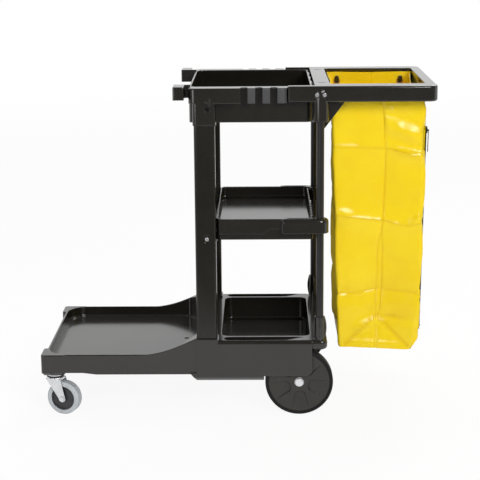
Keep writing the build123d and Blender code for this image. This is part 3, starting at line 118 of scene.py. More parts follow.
def math_node(tree, operation, first, second=None, clamp=False):
    """A math node whose inputs are sockets or plain numbers."""
    node = tree.nodes.new("ShaderNodeMath")
    node.operation = operation
    node.use_clamp = clamp
    for slot, value in enumerate((first, second)):
        if value is None:
            continue
        if isinstance(value, (int, float)):
            node.inputs[slot].default_value = value
        else:
            tree.links.new(value, node.inputs[slot])
    return node.outputs[0]


def paper_masks(tree, place, low, high):
    """Masks of camera and glass rays and of mirror rays, and how far Y is from low, 0, to high, 1."""
    path = tree.nodes.new("ShaderNodeLightPath")
    split = tree.nodes.new("ShaderNodeSeparateXYZ")
    tree.links.new(place, split.inputs[0])
    fade = tree.nodes.new("ShaderNodeMapRange")
    fade.interpolation_type = "SMOOTHSTEP"
    fade.inputs["From Min"].default_value = low
    fade.inputs["From Max"].default_value = high
    tree.links.new(split.outputs["Y"], fade.inputs["Value"])
    seen = math_node(tree, "MAXIMUM", path.outputs["Is Camera Ray"], path.outputs["Is Transmission Ray"])
    return seen, path.outputs["Is Glossy Ray"], fade.outputs["Result"]


way = made.new("ShaderNodeTexCoord")
mixed = made.new("ShaderNodeMixShader")
seen, mirror, behind = paper_masks(world.node_tree, way.outputs["Generated"], *PAPER_TURNS)
mirrored = math_node(world.node_tree, "MULTIPLY", mirror, behind)
links.new(math_node(world.node_tree, "MAXIMUM", seen, mirrored), mixed.inputs[0])
links.new(room.outputs[0], mixed.inputs[1])
links.new(backdrop.outputs[0], mixed.inputs[2])
links.new(mixed.outputs[0], out.inputs["Surface"])
print("world nodes:", len(made))

# %% [markdown]
# ## The floor
# The floor is the same white paper, matt, with a faint shadow under the cart.
# What the camera sees is mostly a plain glow, with a little of the matt paper below it, which has the shadow.
# The glow takes over with the distance, so the paper runs into the background without an edge.
# In mirrors the paper is bright behind the cart and dim in front of it.

# %% Floor
FLOOR_SIZE, FLOOR_DROP = 30, 0.0002
PAPER_GREY = (0.86, 0.86, 0.86, 1)
PAPER_FADES = (-1.9, -1.0)
DIM_PAPER = 0.25
GLOW_BY_DISTANCE = {"From Min": 2.0, "From Max": 8.0, "To Min": 0.93, "To Max": 1.0}

bpy.ops.mesh.primitive_plane_add(size=FLOOR_SIZE, location=(0, 0, -FLOOR_DROP))
floor = bpy.context.object
floor.name = "studio_floor"

paper = bpy.data.materials.new("studio_paper")
made, links, out = shader_tree(paper)
tree = paper.node_tree
spot = made.new("ShaderNodeNewGeometry")
matt = made.new("ShaderNodeBsdfDiffuse")
matt.inputs["Color"].default_value = PAPER_GREY
glow = made.new("ShaderNodeEmission")
away = made.new("ShaderNodeVectorMath")
away.operation = "LENGTH"
links.new(spot.outputs["Position"], away.inputs[0])
even = made.new("ShaderNodeMapRange")
for socket, value in GLOW_BY_DISTANCE.items():
    even.inputs[socket].default_value = value
links.new(away.outputs["Value"], even.inputs["Value"])
seen, mirror, behind = paper_masks(tree, spot.outputs["Position"], *PAPER_FADES)
in_mirror = math_node(tree, "MULTIPLY", mirror, math_node(tree, "MAXIMUM", behind, DIM_PAPER))
in_view = math_node(tree, "MULTIPLY", seen, even.outputs["Result"])
links.new(math_node(tree, "MAXIMUM", seen, in_mirror), glow.inputs["Strength"])
both = made.new("ShaderNodeMixShader")
links.new(math_node(tree, "MAXIMUM", in_view, mirror), both.inputs[0])
links.new(matt.outputs[0], both.inputs[1])
links.new(glow.outputs[0], both.inputs[2])
links.new(both.outputs[0], out.inputs["Surface"])
floor.data.materials.append(paper)
print("floor:", floor.name)

# %% [markdown]
# ## Soft boxes
# Goods are photographed under large white boxes, whose shadows have no hard edge. An area lamp does the same.
# The key stands right of the camera and the fill low on its left, so that light also gets under the rails.
# One box hangs above and one high behind. The one above is kept out of mirrors, because black tops
# would otherwise show it as a grey sheet when they are seen from above.

# %% Soft boxes
def soft_box(name, place, target, size, watts):
    """A square area lamp that looks at a target."""
    lamp = bpy.data.lights.new(name, "AREA")
    lamp.shape = "SQUARE"
    lamp.size = size
    lamp.energy = watts
    box = bpy.data.objects.new(name, lamp)
    bpy.context.collection.objects.link(box)
    box.location = place
    box.rotation_euler = (Vector(target) - Vector(place)).to_track_quat("-Z", "Y").to_euler()
    return box


soft_box("key", place=(1.6, -3.6, 2.5), target=(0.2, 0.0, 0.5), size=1.4, watts=105)
soft_box("fill", place=(-2.0, -3.6, 1.1), target=(0.0, 0.0, 0.5), size=1.5, watts=25)
overhead = soft_box("overhead", place=(0.0, 0.9, 3.4), target=(0.0, 0.0, 0.4), size=2.0, watts=60)
overhead.visible_glossy = False
soft_box("back", place=(1.5, 2.9, 3.3), target=(0.1, 0.0, 0.5), size=1.4, watts=60)

# %% [markdown]
# ## Effects that several finishes share
# Moulded plastic, painted tube and rubber need the same few effects, so each is a node group, built once.
# The first is soft edges. No real moulding has a sharp edge, so the Bevel node rounds the shading there.
# Where the rounded normal and the true one differ, there is an edge, and that makes a mask for edge wear and
# for the painted light on edges.

# %% Soft edges
EDGE_SAMPLES, EDGE_GAIN = 6, 4.0


def new_group(name, inputs, outputs):
    """A shader node group with float inputs and their defaults, and typed outputs."""
    group = bpy.data.node_groups.new(name, "ShaderNodeTree")
    for label, value in inputs.items():
        socket = group.interface.new_socket(label, in_out="INPUT", socket_type="NodeSocketFloat")
        socket.default_value = value
    for label, kind in outputs.items():
        group.interface.new_socket(label, in_out="OUTPUT", socket_type="NodeSocket" + kind)
    start = group.nodes.new("NodeGroupInput")
    end = group.nodes.new("NodeGroupOutput")
    return group, start, end


soft_edges, start, end = new_group("soft_edges", {"Radius": 0.0015}, {"Normal": "Vector", "Edge": "Float"})
rounded = soft_edges.nodes.new("ShaderNodeBevel")
rounded.samples = EDGE_SAMPLES
soft_edges.links.new(start.outputs["Radius"], rounded.inputs["Radius"])
facing = soft_edges.nodes.new("ShaderNodeNewGeometry")
agree = soft_edges.nodes.new("ShaderNodeVectorMath")
agree.operation = "DOT_PRODUCT"
soft_edges.links.new(rounded.outputs[0], agree.inputs[0])
soft_edges.links.new(facing.outputs["Normal"], agree.inputs[1])
turned = math_node(soft_edges, "SUBTRACT", 1.0, agree.outputs["Value"])
soft_edges.links.new(math_node(soft_edges, "MULTIPLY", turned, EDGE_GAIN, True), end.inputs["Edge"])
soft_edges.links.new(rounded.outputs[0], end.inputs["Normal"])
print("group:", soft_edges.name)

# %% [markdown]
# The second is grain: a fine height for the bump of a surface, and a slow mottle for its colour and gloss.
# Both are noise on Object coordinates, so the pattern stays on its piece when the piece moves.

# %% Grain
FINE_DETAIL, SLOW_DETAIL, SLOW_ROUGH = 3.0, 4.0, 0.6

grain, start, end = new_group("grain", {"Fine": 900.0, "Slow": 7.0}, {"Height": "Float", "Mottle": "Float"})
place = grain.nodes.new("ShaderNodeTexCoord")
fine = grain.nodes.new("ShaderNodeTexNoise")
fine.inputs["Detail"].default_value = FINE_DETAIL
slow = grain.nodes.new("ShaderNodeTexNoise")
slow.inputs["Detail"].default_value = SLOW_DETAIL
slow.inputs["Roughness"].default_value = SLOW_ROUGH
for texture, socket in ((fine, "Fine"), (slow, "Slow")):
    grain.links.new(place.outputs["Object"], texture.inputs["Vector"])
    grain.links.new(start.outputs[socket], texture.inputs["Scale"])
grain.links.new(fine.outputs["Fac"], end.inputs["Height"])
grain.links.new(slow.outputs["Fac"], end.inputs["Mottle"])
print("group:", grain.name)

# %% [markdown]
# ## One builder for the plain finishes
# No real surface has one flat colour. A finish here goes from a dark to a light tone with the slow mottle,
# its gloss goes up and down with it, the fine grain is its bump, and its edges get another tone: partly wear,
# partly painted light.
# From plastic to rubber to steel only the numbers differ, so one function builds them all.
# Three small helpers place a group, colour a mottle and turn it into a range of roughness.

# %% Finish helpers
MOTTLE_LOW, MOTTLE_HIGH = 0.3, 0.7


def use_group(made, group, **values):
    """Places a node group with its own values."""
    node = made.new("ShaderNodeGroup")
    node.node_tree = group
    for label, value in values.items():
        node.inputs[label].default_value = value
    return node


def ramp(made, links, mottle, dark, light):
    """Colours from dark to light as the mottle goes from low to high."""
    node = made.new("ShaderNodeValToRGB")
    for stop, position, tone in zip(node.color_ramp.elements, (MOTTLE_LOW, MOTTLE_HIGH), (dark, light)):
        stop.position = position
        stop.color = (*tone, 1)
    links.new(mottle, node.inputs[0])
    return node.outputs[0]


def span(made, links, source, low, high):
    """Maps 0 to 1 onto low to high."""
    node = made.new("ShaderNodeMapRange")
    node.inputs["To Min"].default_value = low
    node.inputs["To Max"].default_value = high
    links.new(source, node.inputs["Value"])
    return node.outputs[0]


print("mottle runs from", MOTTLE_LOW, "to", MOTTLE_HIGH)

# %% [markdown]
# The builder itself joins these parts to one Principled shader.
# A number that is the same all over, such as the specular level, is set on the shader's own socket.

# %% Finish builder
GRAIN_DEPTH = 0.001
METAL_SHINE = 0.5


def finish_of(
    name, dark, light, rough,
    bump=0.02, fine=900.0, slow=7.0, radius=0.0015, edge=None, metal=0.0, shine=0.45, wear_and_painted_light=0.5,
):
    """A finish with mottled colour, uneven gloss, fine grain and softly rounded edges in a tone that is
    partly wear, partly painted light.
    """
    stuff = bpy.data.materials.new(name)
    made, links, out = shader_tree(stuff)
    shade = made.new("ShaderNodeBsdfPrincipled")
    shade.inputs["Metallic"].default_value = metal
    shade.inputs["Specular IOR Level"].default_value = METAL_SHINE if metal else shine
    links.new(shade.outputs[0], out.inputs["Surface"])
    skin = use_group(made, grain, Fine=fine, Slow=slow)
    rim = use_group(made, soft_edges, Radius=radius)
    # Painted light: the edges get the edge tone. On most finishes it is paler, a painted highlight mixed with
    # wear, and on the wheels it is dark, painted shade.
    worn_and_painted_edges = made.new("ShaderNodeMix")
    worn_and_painted_edges.data_type = "RGBA"
    worn_and_painted_edges.inputs["B"].default_value = (*(edge or light), 1)
    edge_wear_and_light_share = math_node(stuff.node_tree, "MULTIPLY", rim.outputs["Edge"], wear_and_painted_light, True)
    links.new(edge_wear_and_light_share, worn_and_painted_edges.inputs["Factor"])
    links.new(ramp(made, links, skin.outputs["Mottle"], dark, light), worn_and_painted_edges.inputs["A"])
    links.new(worn_and_painted_edges.outputs["Result"], shade.inputs["Base Color"])
    links.new(span(made, links, skin.outputs["Mottle"], *rough), shade.inputs["Roughness"])
    relief = made.new("ShaderNodeBump")
    relief.inputs["Strength"].default_value = bump
    relief.inputs["Distance"].default_value = GRAIN_DEPTH
    links.new(skin.outputs["Height"], relief.inputs["Height"])
    links.new(rim.outputs["Normal"], relief.inputs["Normal"])
    links.new(relief.outputs[0], shade.inputs["Normal"])
    return stuff


def dress(stuff, *names):
    """Gives a finish to the named solids."""
    for name in names:
        nodes[name].data.materials.clear()
        nodes[name].data.materials.append(stuff)


print("depth of the grain:", GRAIN_DEPTH)

# %% [markdown]
# ## The body and the shelf
# Both are black moulded plastic: nearly black, satin, with a fine grain that breaks up its reflections.
# Their floors are textured in the mould, so the level faces are rougher; they are also painted paler, as
# painted light on the tops.
# They are found by their normal, which is read in the piece's own space and so doesn't depend on the view.

# %% Body and shelf finish
LEVEL_FACE = 0.9
# The paler edge tone of this plastic is partly wear and partly a painted highlight on its rounded edges.
MOULDED = {
    "dark": (0.0105, 0.0090, 0.0062),
    "light": (0.0155, 0.0136, 0.0100),
    "rough": (0.08, 0.14),
    "bump": 0.012,
    "edge": (0.035, 0.035, 0.034),
    "shine": 0.65,
}


def mix_in(stuff, socket, mask, value):
    """Puts a plain value or colour in place of what feeds a socket, where a mask is 1."""
    made, links = stuff.node_tree.nodes, stuff.node_tree.links
    shade = next(node for node in made if node.type == "BSDF_PRINCIPLED")
    mixed = made.new("ShaderNodeMix")
    mixed.data_type = "FLOAT" if isinstance(value, float) else "RGBA"
    mixed.inputs["B"].default_value = value
    links.new(mask, mixed.inputs["Factor"])
    links.new(shade.inputs[socket].links[0].from_socket, mixed.inputs["A"])
    links.new(mixed.outputs["Result"], shade.inputs[socket])


def rough_tops_painted_paler(stuff, more, tone):
    """Makes the level faces of a finish rougher, and paints them paler as painted light on the tops."""
    made, links = stuff.node_tree.nodes, stuff.node_tree.links
    facing = made.new("ShaderNodeTexCoord")
    split = made.new("ShaderNodeSeparateXYZ")
    links.new(facing.outputs["Normal"], split.inputs[0])
    level = math_node(stuff.node_tree, "GREATER_THAN", split.outputs["Z"], LEVEL_FACE)
    shade = next(node for node in made if node.type == "BSDF_PRINCIPLED")
    before = shade.inputs["Roughness"].links[0].from_socket
    extra = math_node(stuff.node_tree, "MULTIPLY", level, more)
    links.new(math_node(stuff.node_tree, "ADD", before, extra), shade.inputs["Roughness"])
    # Painted light: the level tops get a paler colour.
    mix_in(stuff, "Base Color", level, (*tone, 1))


black_moulding = finish_of("black_moulding", radius=0.003, **MOULDED)
# The paler tone given here is painted light on the level tops.
rough_tops_painted_paler(black_moulding, more=0.040, tone=(0.019, 0.018, 0.016))
dress(black_moulding, "base_platform", "mid_shelf")
print("finish:", black_moulding.name)

# %% [markdown]
# ## The bag frame and the tray
# They are the same plastic with rounder edges. The tray's holders, on its outer sides, have a coarse texture
# for grip, which is matt and looks grey beside the satin black. They are found by their place on the tray.

# %% Frame and tray finish
def roughen(stuff, reach, side, rough, tone):
    """Makes a finish rough and paler within a reach of X, on the outer sides."""
    made, links, tree = stuff.node_tree.nodes, stuff.node_tree.links, stuff.node_tree
    place = made.new("ShaderNodeTexCoord")
    split = made.new("ShaderNodeSeparateXYZ")
    links.new(place.outputs["Object"], split.inputs[0])
    outside = math_node(tree, "GREATER_THAN", math_node(tree, "ABSOLUTE", split.outputs["Y"]), side)
    after = math_node(tree, "GREATER_THAN", split.outputs["X"], reach[0])
    before = math_node(tree, "LESS_THAN", split.outputs["X"], reach[1])
    holders = math_node(tree, "MULTIPLY", math_node(tree, "MULTIPLY", after, before), outside)
    mix_in(stuff, "Roughness", holders, rough)
    mix_in(stuff, "Base Color", holders, (*tone, 1))


rail_moulding = finish_of("rail_moulding", radius=0.005, **MOULDED)
dress(rail_moulding, "bag_frame")
tray_moulding = finish_of("tray_moulding", radius=0.005, **MOULDED)
roughen(tray_moulding, reach=(0.0390, 0.1520), side=0.262, rough=0.5, tone=(0.045, 0.045, 0.047))
dress(tray_moulding, "top_tray")
print("finishes:", rail_moulding.name, tray_moulding.name)

# %% [markdown]
# ## Posts and tubes
# The front posts are moulded, less glossy than the body. The rear tubes are steel under a powder coat,
# which is baked from dry paint and has a fine orange-peel grain.

# %% Post and tube finishes
post_moulding = finish_of(
    "post_moulding",
    dark=(0.0095, 0.0080, 0.0052),
    light=(0.0138, 0.0118, 0.0082),
    rough=(0.17, 0.25),
    bump=0.015,
    radius=0.003,
)
dress(post_moulding, "front_post_near", "front_post_far")
powder_coat = finish_of(
    "powder_coat",
    dark=(0.012, 0.011, 0.011),
    light=(0.018, 0.016, 0.015),
    rough=(0.28, 0.4),
    bump=0.08,
    fine=1600.0,
)
dress(powder_coat, "rear_post_near", "rear_post_far")
print("finishes:", post_moulding.name, powder_coat.name)

# %% [markdown]
# ## Large wheels
# They are a matt black moulding with a black rubber tyre, and run on a pale nylon bush that needs no grease.
# The edges of the moulding, the rims of its pockets among them, are painted dark here instead of pale:
# painted shade that outlines the pockets.

# %% Large wheel finishes
wheel_moulding = finish_of(
    "wheel_moulding",
    dark=(0.0235, 0.0205, 0.0170),
    light=(0.0340, 0.0305, 0.0260),
    rough=(0.34, 0.46),
    bump=0.04,
    radius=0.0025,
    # Painted shade: the dark edge tone outlines the edges and the pocket rims.
    edge=(0.001, 0.001, 0.001),
    wear_and_painted_light=1.6,
)
dress(wheel_moulding, "rear_core_near", "rear_core_far")
black_rubber = finish_of(
    "black_rubber",
    dark=(0.006, 0.006, 0.006),
    light=(0.010, 0.010, 0.010),
    rough=(0.45, 0.6),
    bump=0.1,
    fine=500.0,
    shine=0.2,
)
dress(black_rubber, "rear_tyre_near", "rear_tyre_far")
nylon = finish_of(
    "nylon",
    dark=(0.62, 0.61, 0.57),
    light=(0.72, 0.71, 0.67),
    rough=(0.4, 0.5),
    slow=40.0,
)
dress(nylon, "rear_bush_near", "rear_bush_far")
print("finishes:", wheel_moulding.name, black_rubber.name, nylon.name)

# %% [markdown]
# ## Casters
# Their cores are dark moulded plastic, and their tyres grey rubber, which leaves no marks on a floor.
# The seals of the swivels and the sockets that hold the stems are black plastic, like most hidden pieces.

# %% Caster finishes
grey_rubber = finish_of(
    "grey_rubber",
    dark=(0.50, 0.53, 0.55),
    light=(0.60, 0.63, 0.65),
    rough=(0.45, 0.6),
    bump=0.06,
    slow=30.0,
)
dress(grey_rubber, "caster_tyre_near", "caster_tyre_far")
caster_moulding = finish_of(
    "caster_moulding",
    dark=(0.026, 0.026, 0.029),
    light=(0.045, 0.045, 0.049),
    rough=(0.34, 0.46),
    slow=30.0,
    radius=0.0008,
)
dress(caster_moulding, "caster_core_near", "caster_core_far")
seal_moulding = finish_of(
    "seal_moulding",
    dark=(0.02, 0.02, 0.02),
    light=(0.03, 0.03, 0.03),
    rough=(0.4, 0.55),
    slow=30.0,
    radius=0.0006,
)
dress(seal_moulding, "caster_seal_near", "caster_seal_far", "caster_sockets")
print("finishes:", grey_rubber.name, caster_moulding.name, seal_moulding.name)

# %% [markdown]
# ## Metal
# The forks, stems and axles are zinc plated, which is a mottled, half matt grey. The caps and most screws are
# bright steel, and the tray's screws are blackened. The eyelets are lacquered brass, so they are only
# partly metallic: lacquer takes some of the mirror away.

# %% Metal finishes
zinc_plate = finish_of(
    "zinc_plate",
    dark=(0.62, 0.63, 0.65),
    light=(0.78, 0.79, 0.81),
    rough=(0.26, 0.42),
    slow=40.0,
    radius=0.0006,
    metal=1.0,
)
zinc_names = ["rear_axle", "axle_washers"]
for side in ("near", "far"):
    zinc_names += [f"caster_{piece}_{side}" for piece in ("stem", "fork", "axle", "nut", "sleeve")]
dress(zinc_plate, *zinc_names)
bright_steel = finish_of(
    "bright_steel",
    dark=(0.72, 0.72, 0.73),
    light=(0.82, 0.82, 0.83),
    rough=(0.24, 0.34),
    bump=0.01,
    slow=60.0,
    radius=0.0005,
    metal=1.0,
)
dress(bright_steel, "axle_caps", "shelf_screws", "frame_screws")
black_oxide = finish_of(
    "black_oxide",
    dark=(0.02, 0.02, 0.021),
    light=(0.04, 0.04, 0.042),
    rough=(0.25, 0.4),
    slow=60.0,
    radius=0.0005,
    metal=1.0,
)
dress(black_oxide, "tray_screws")
pale_brass = finish_of(
    "pale_brass",
    dark=(0.42, 0.22, 0.05),
    light=(0.56, 0.32, 0.09),
    rough=(0.2, 0.35),
    slow=90.0,
    radius=0.0004,
    metal=0.35,
)
dress(pale_brass, "bag_eyelets")
print("zinc plated solids:", len(zinc_names))

# %% [markdown]
# ## Finishes of the zip
# The tape is a matt weave, so its grain is deep and its gloss low.
# The teeth, the stops, the slider and the pull are enamelled black, with a soft gloss.

# %% Zip finishes
zip_weave = finish_of(
    "zip_weave",
    dark=(0.010, 0.010, 0.010),
    light=(0.018, 0.018, 0.018),
    rough=(0.6, 0.8),
    bump=0.3,
    fine=1500.0,
    slow=80.0,
    radius=0.0004,
)
dress(zip_weave, "zipper_tape")
zip_enamel = finish_of(
    "zip_enamel",
    dark=(0.016, 0.016, 0.017),
    light=(0.028, 0.028, 0.030),
    rough=(0.36, 0.46),
    slow=90.0,
    radius=0.0004,
    shine=0.3,
)
dress(zip_enamel, "zipper_stops", "zipper_slider", "zipper_pull")
print("finishes:", len(bpy.data.materials))

# %% [markdown]
# ## The bag
# The bag is a sack of yellow coated cloth, hung by eyelets from hooks in the frame, and open at the top.
# It came folded flat, and its folds still show: a valley down the middle of each face, three folds across,
# and a folded triangle at the foot. A cloth simulation would smooth these sharp folds away,
# so a box is divided finely and its points are moved by rules for taper, folds, sag and wrinkles.
# The blank is a cube without its top, divided along each axis in turn.

# %% Bag blank
BAG_CUTS = (65, 43, 179)
MOSTLY_ALONG, FACES_UP = 0.9, 0.5
bag_low, bag_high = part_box("bag_body")


def clear_selection(kind):
    """Deselects all of the active mesh and says what edit mode selects."""
    bpy.ops.object.mode_set(mode="EDIT")
    bpy.ops.mesh.select_mode(type=kind)
    bpy.ops.mesh.select_all(action="DESELECT")
    bpy.ops.object.mode_set(mode="OBJECT")


def cut_along(piece, axis, cuts):
    """Divides the edges of a piece that run along one axis."""
    clear_selection("EDGE")
    points = piece.data.vertices
    for edge in piece.data.edges:
        run = points[edge.vertices[1]].co - points[edge.vertices[0]].co
        edge.select = abs(run[axis]) > MOSTLY_ALONG * run.length
    bpy.ops.object.mode_set(mode="EDIT")
    bpy.ops.mesh.subdivide(number_cuts=cuts)
    bpy.ops.object.mode_set(mode="OBJECT")


bpy.ops.object.select_all(action="DESELECT")
bpy.ops.mesh.primitive_cube_add(size=2, location=(0, 0, 0))
bag = bpy.context.object
bag.name = "bag_cloth"
clear_selection("FACE")
for face in bag.data.polygons:
    face.select = face.normal.z > FACES_UP
bpy.ops.object.mode_set(mode="EDIT")
bpy.ops.mesh.delete(type="ONLY_FACE")
bpy.ops.object.mode_set(mode="OBJECT")
for axis, cuts in enumerate(BAG_CUTS):
    cut_along(bag, axis, cuts)
print("bag points:", len(bag.data.vertices))

# %% [markdown]
# The shape is written as what can be measured on a bag. First come its four corners: each row is a height,
# and how far along X the corner stands there. The valley has such a row too, and one for its depth.

# %% Bag corners and valley
NEAR_LEFT = [
    (0.183, 0.314), (0.198, 0.307), (0.289, 0.303), (0.395, 0.298),
    (0.603, 0.292), (0.765, 0.286), (0.892, 0.283), (0.980, 0.281),
]
FAR_LEFT = [
    (0.183, 0.312), (0.210, 0.307), (0.296, 0.304), (0.400, 0.302),
    (0.761, 0.302), (0.900, 0.297), (0.974, 0.288),
]
NEAR_RIGHT = [
    (0.183, 0.529), (0.199, 0.539), (0.216, 0.549), (0.313, 0.550), (0.345, 0.549),
    (0.376, 0.548), (0.420, 0.552), (0.471, 0.553), (0.538, 0.552), (0.570, 0.554),
    (0.610, 0.551), (0.650, 0.556), (0.770, 0.557), (0.800, 0.552), (0.856, 0.551),
    (0.885, 0.558), (0.915, 0.559), (0.941, 0.552), (0.980, 0.5505),
]
FAR_RIGHT = [
    (0.183, 0.535), (0.216, 0.547), (0.313, 0.549), (0.584, 0.553),
    (0.793, 0.555), (0.915, 0.557), (0.941, 0.552), (0.980, 0.551),
]
FOOT = [(0.316, 0.191), (0.420, 0.187), (0.526, 0.183)]
APEX = 0.287
VALLEY_X = [
    (0.183, 0.418), (0.287, 0.420), (0.297, 0.425), (0.377, 0.429), (0.472, 0.429),
    (0.530, 0.431), (0.582, 0.437), (0.686, 0.441), (0.794, 0.442), (0.926, 0.432),
]
VALLEY_DEPTH = [
    (0.183, 0.026), (0.377, 0.022), (0.530, 0.018), (0.600, 0.015),
    (0.794, 0.011), (0.880, 0.007), (0.935, 0.001), (0.980, 0.0),
]
VALLEY_FLOOR = [(0.287, 0.003), (0.310, 0.007), (0.500, 0.007), (0.550, 0.0)]
TURN_X = [(0.183, 0.520), (0.199, 0.526), (0.264, 0.531), (0.300, 0.552)]


def along(table, place):
    """Reads a table of places and values, with straight lines between its rows."""
    for (start, first), (end, second) in zip(table, table[1:]):
        if place <= end:
            share = max(0.0, (place - start) / (end - start))
            return first + (second - first) * share
    return table[-1][1]


print("valley at 0.45 m:", round(along(VALLEY_X, 0.45), 3), "deep", round(along(VALLEY_DEPTH, 0.45), 3))

# %% [markdown]
# Folds and wrinkles are lines of points, X and Z, on the wide faces, each with a rise and a width.
# A fold is a sharp roof with a pressed crease on it, because the cloth was stored flat, and it may grow along
# its line from the share at its start. A wrinkle is a soft wave that fades out at both ends.

# %% Bag folds and wrinkles
FOLDS = [
    ([(0.284, 0.806), (0.442, 0.799), (0.560, 0.774)], 0.0060, 0.050, 0.1),
    ([(0.288, 0.603), (0.437, 0.582), (0.515, 0.566), (0.560, 0.580)], 0.0075, 0.050, 0.8),
    ([(0.296, 0.358), (0.374, 0.356), (0.429, 0.366), (0.556, 0.357)], -0.0070, 0.040, 1.0),
    ([(0.430, 0.288), (0.526, 0.274)], -0.0050, 0.022, 1.0),
]
CROSS_FOLDS = FOLDS[:3]
FOOT_FOLDS = [[(0.330, 0.200), (0.419, 0.287)], [(0.423, 0.287), (0.518, 0.194)]]
WRINKLES = [
    ([(0.450, 0.862), (0.500, 0.848), (0.549, 0.830)], 0.0120, 0.019),
    ([(0.456, 0.866), (0.441, 0.886), (0.479, 0.879)], 0.0080, 0.008),
    ([(0.460, 0.791), (0.548, 0.774)], 0.0085, 0.011),
    ([(0.408, 0.917), (0.480, 0.911)], 0.0055, 0.008),
    ([(0.490, 0.921), (0.512, 0.914)], 0.0055, 0.008),
    ([(0.300, 0.800), (0.380, 0.806)], 0.0012, 0.010),
    ([(0.300, 0.612), (0.350, 0.600)], 0.0035, 0.009),
    ([(0.520, 0.580), (0.552, 0.594)], 0.0070, 0.008),
    ([(0.300, 0.397), (0.318, 0.395)], 0.0035, 0.007),
    ([(0.332, 0.377), (0.349, 0.376)], 0.0030, 0.007),
    ([(0.356, 0.243), (0.428, 0.276)], 0.0105, 0.013),
    ([(0.330, 0.209), (0.511, 0.197)], 0.0030, 0.006),
]
FAR_AWAY = 9.0


def smooth_step(low, high, value):
    """0 below low, 1 above high and smooth between."""
    share = min(1.0, max(0.0, (value - low) / (high - low)))
    return share * share * (3 - 2 * share)


def from_line(x, z, line):
    """How far a point is from a line of points, and how far along it, from 0 to 1."""
    best = (FAR_AWAY, 0.0)
    for number, ((x0, z0), (x1, z1)) in enumerate(zip(line, line[1:])):
        run_x, run_z = x1 - x0, z1 - z0
        share = ((x - x0) * run_x + (z - z0) * run_z) / (run_x * run_x + run_z * run_z)
        share = min(1.0, max(0.0, share))
        away = math.hypot(x - x0 - run_x * share, z - z0 - run_z * share)
        if away < best[0]:
            best = (away, (number + share) / (len(line) - 1))
    return best


print("folds:", len(FOLDS), "wrinkles:", len(WRINKLES))

# %% [markdown]
# A wide face is two panels that slope to the valley between them. Below the apex of the foot's triangle the
# valley runs out, and near the zip the low corner turns in. The folds and wrinkles are added on top of that.

# %% Wide faces of the bag
PRESSED, CREASE = 0.0022, 0.0045
ROOF = 1.4
TURN_IN, TURN_FADE = 0.7, (0.262, 0.300)
WAVE_REACH, WAVE_START, WAVE_RUN = 3, 0.12, 0.76


def crease(away):
    """1 on a crease, falling to 0 beside it."""
    return max(0.0, 1.0 - away / CREASE)


def wide_face_move(x, z, left, right, foot):
    """How far a point of a wide face moves out from its plane."""
    fold, floor_half = along(VALLEY_X, z), along(VALLEY_FLOOR, z)
    turn = min(right, along(TURN_X, z))
    reach = (fold - left) if x < fold else (turn - fold)
    panel = 1.0 - min(1.0, max(0.0, abs(x - fold) - floor_half) / (reach - floor_half))
    if z < APEX:
        panel = min(panel, max(0.0, z - foot) / (APEX - foot))
    move = -along(VALLEY_DEPTH, z) * panel - PRESSED * crease(abs(abs(x - fold) - floor_half))
    move -= TURN_IN * max(0.0, x - turn) * (1 - smooth_step(*TURN_FADE, z))
    for line, rise, width, start in FOLDS:
        away, share = from_line(x, z, line)
        move += rise * (start + (1 - start) * share) * max(0.0, 1.0 - away / width) ** ROOF
        move += math.copysign(PRESSED, rise) * crease(away)
    for line, rise, width in WRINKLES:
        away, share = from_line(x, z, line)
        if away < WAVE_REACH * width:
            fade = math.sin(math.pi * (WAVE_START + WAVE_RUN * share))
            move += rise * math.exp(-((away / width) ** 2)) * fade
    return move


print("middle of a wide face at 0.45 m:", round(wide_face_move(0.429, 0.45, 0.297, 0.553, 0.19), 4))

# %% [markdown]
# The two ends have a valley of their own, and the folds across go on round them.
# Beside the zip the corner has a sewn seam, which stands proud of the cloth. From the front it hides most
# of the zip, but not the zip's top, nor the places at the folds, where the seam dips.

# %% Ends of the bag
END_VALLEY, END_FADE, END_FOLD = 0.013, (0.80, 0.95), 0.6
SEAM_RISE, SEAM_WIDE, SEAM_OUT, SEAM_DIP = 0.0048, 0.008, 0.019, 0.009
SEAM_FOOT, SEAM_TOP = (0.25, 0.28), (0.760, 0.790)


def end_face_move(x, y, z, half):
    """How far a point of an end moves out from its plane."""
    low = 1 - smooth_step(*END_FADE, z)
    move = -END_VALLEY * max(0.0, 1.0 - abs(y) / half) * low - PRESSED * low * crease(abs(y))
    for line, rise, width, start in CROSS_FOLDS:
        away = abs(z - along(line, x))
        move -= END_FOLD * abs(rise) * max(0.0, 1.0 - away / width) ** ROOF + PRESSED * crease(away)
    return move


def seam_share(x, y, z, middle):
    """How much the corner seam stands out: all along its line, but not at its ends and on the folds."""
    on_line = max(0.0, 1.0 - abs(y - middle) / SEAM_WIDE)
    ends = smooth_step(*SEAM_FOOT, z) * (1 - smooth_step(*SEAM_TOP, z))
    dip = max(math.exp(-(((z - along(row[0], x)) / SEAM_DIP) ** 2)) for row in CROSS_FOLDS[1:])
    return on_line * ends * (1 - dip)


print("middle of an end at 0.45 m:", round(end_face_move(0.55, 0.0, 0.45, 0.19), 4))

# %% [markdown]
# Folds need more points than flat cloth. So the even rows of the blank are drawn towards the corners and
# towards the folds, and three rows lie right on the folds across.

# %% Spacing of the grid
PULL = 0.35
ROWS = BAG_CUTS[2] + 1
FOLD_ROWS = (40, 90, 140)
SAME_ROW = 1e-6


def spread(share):
    """Draws the evenly spaced points between 0 and 1 towards both ends."""
    return math.copysign(abs(share) - PULL * math.sin(2 * math.pi * abs(share)) / (2 * math.pi), share)


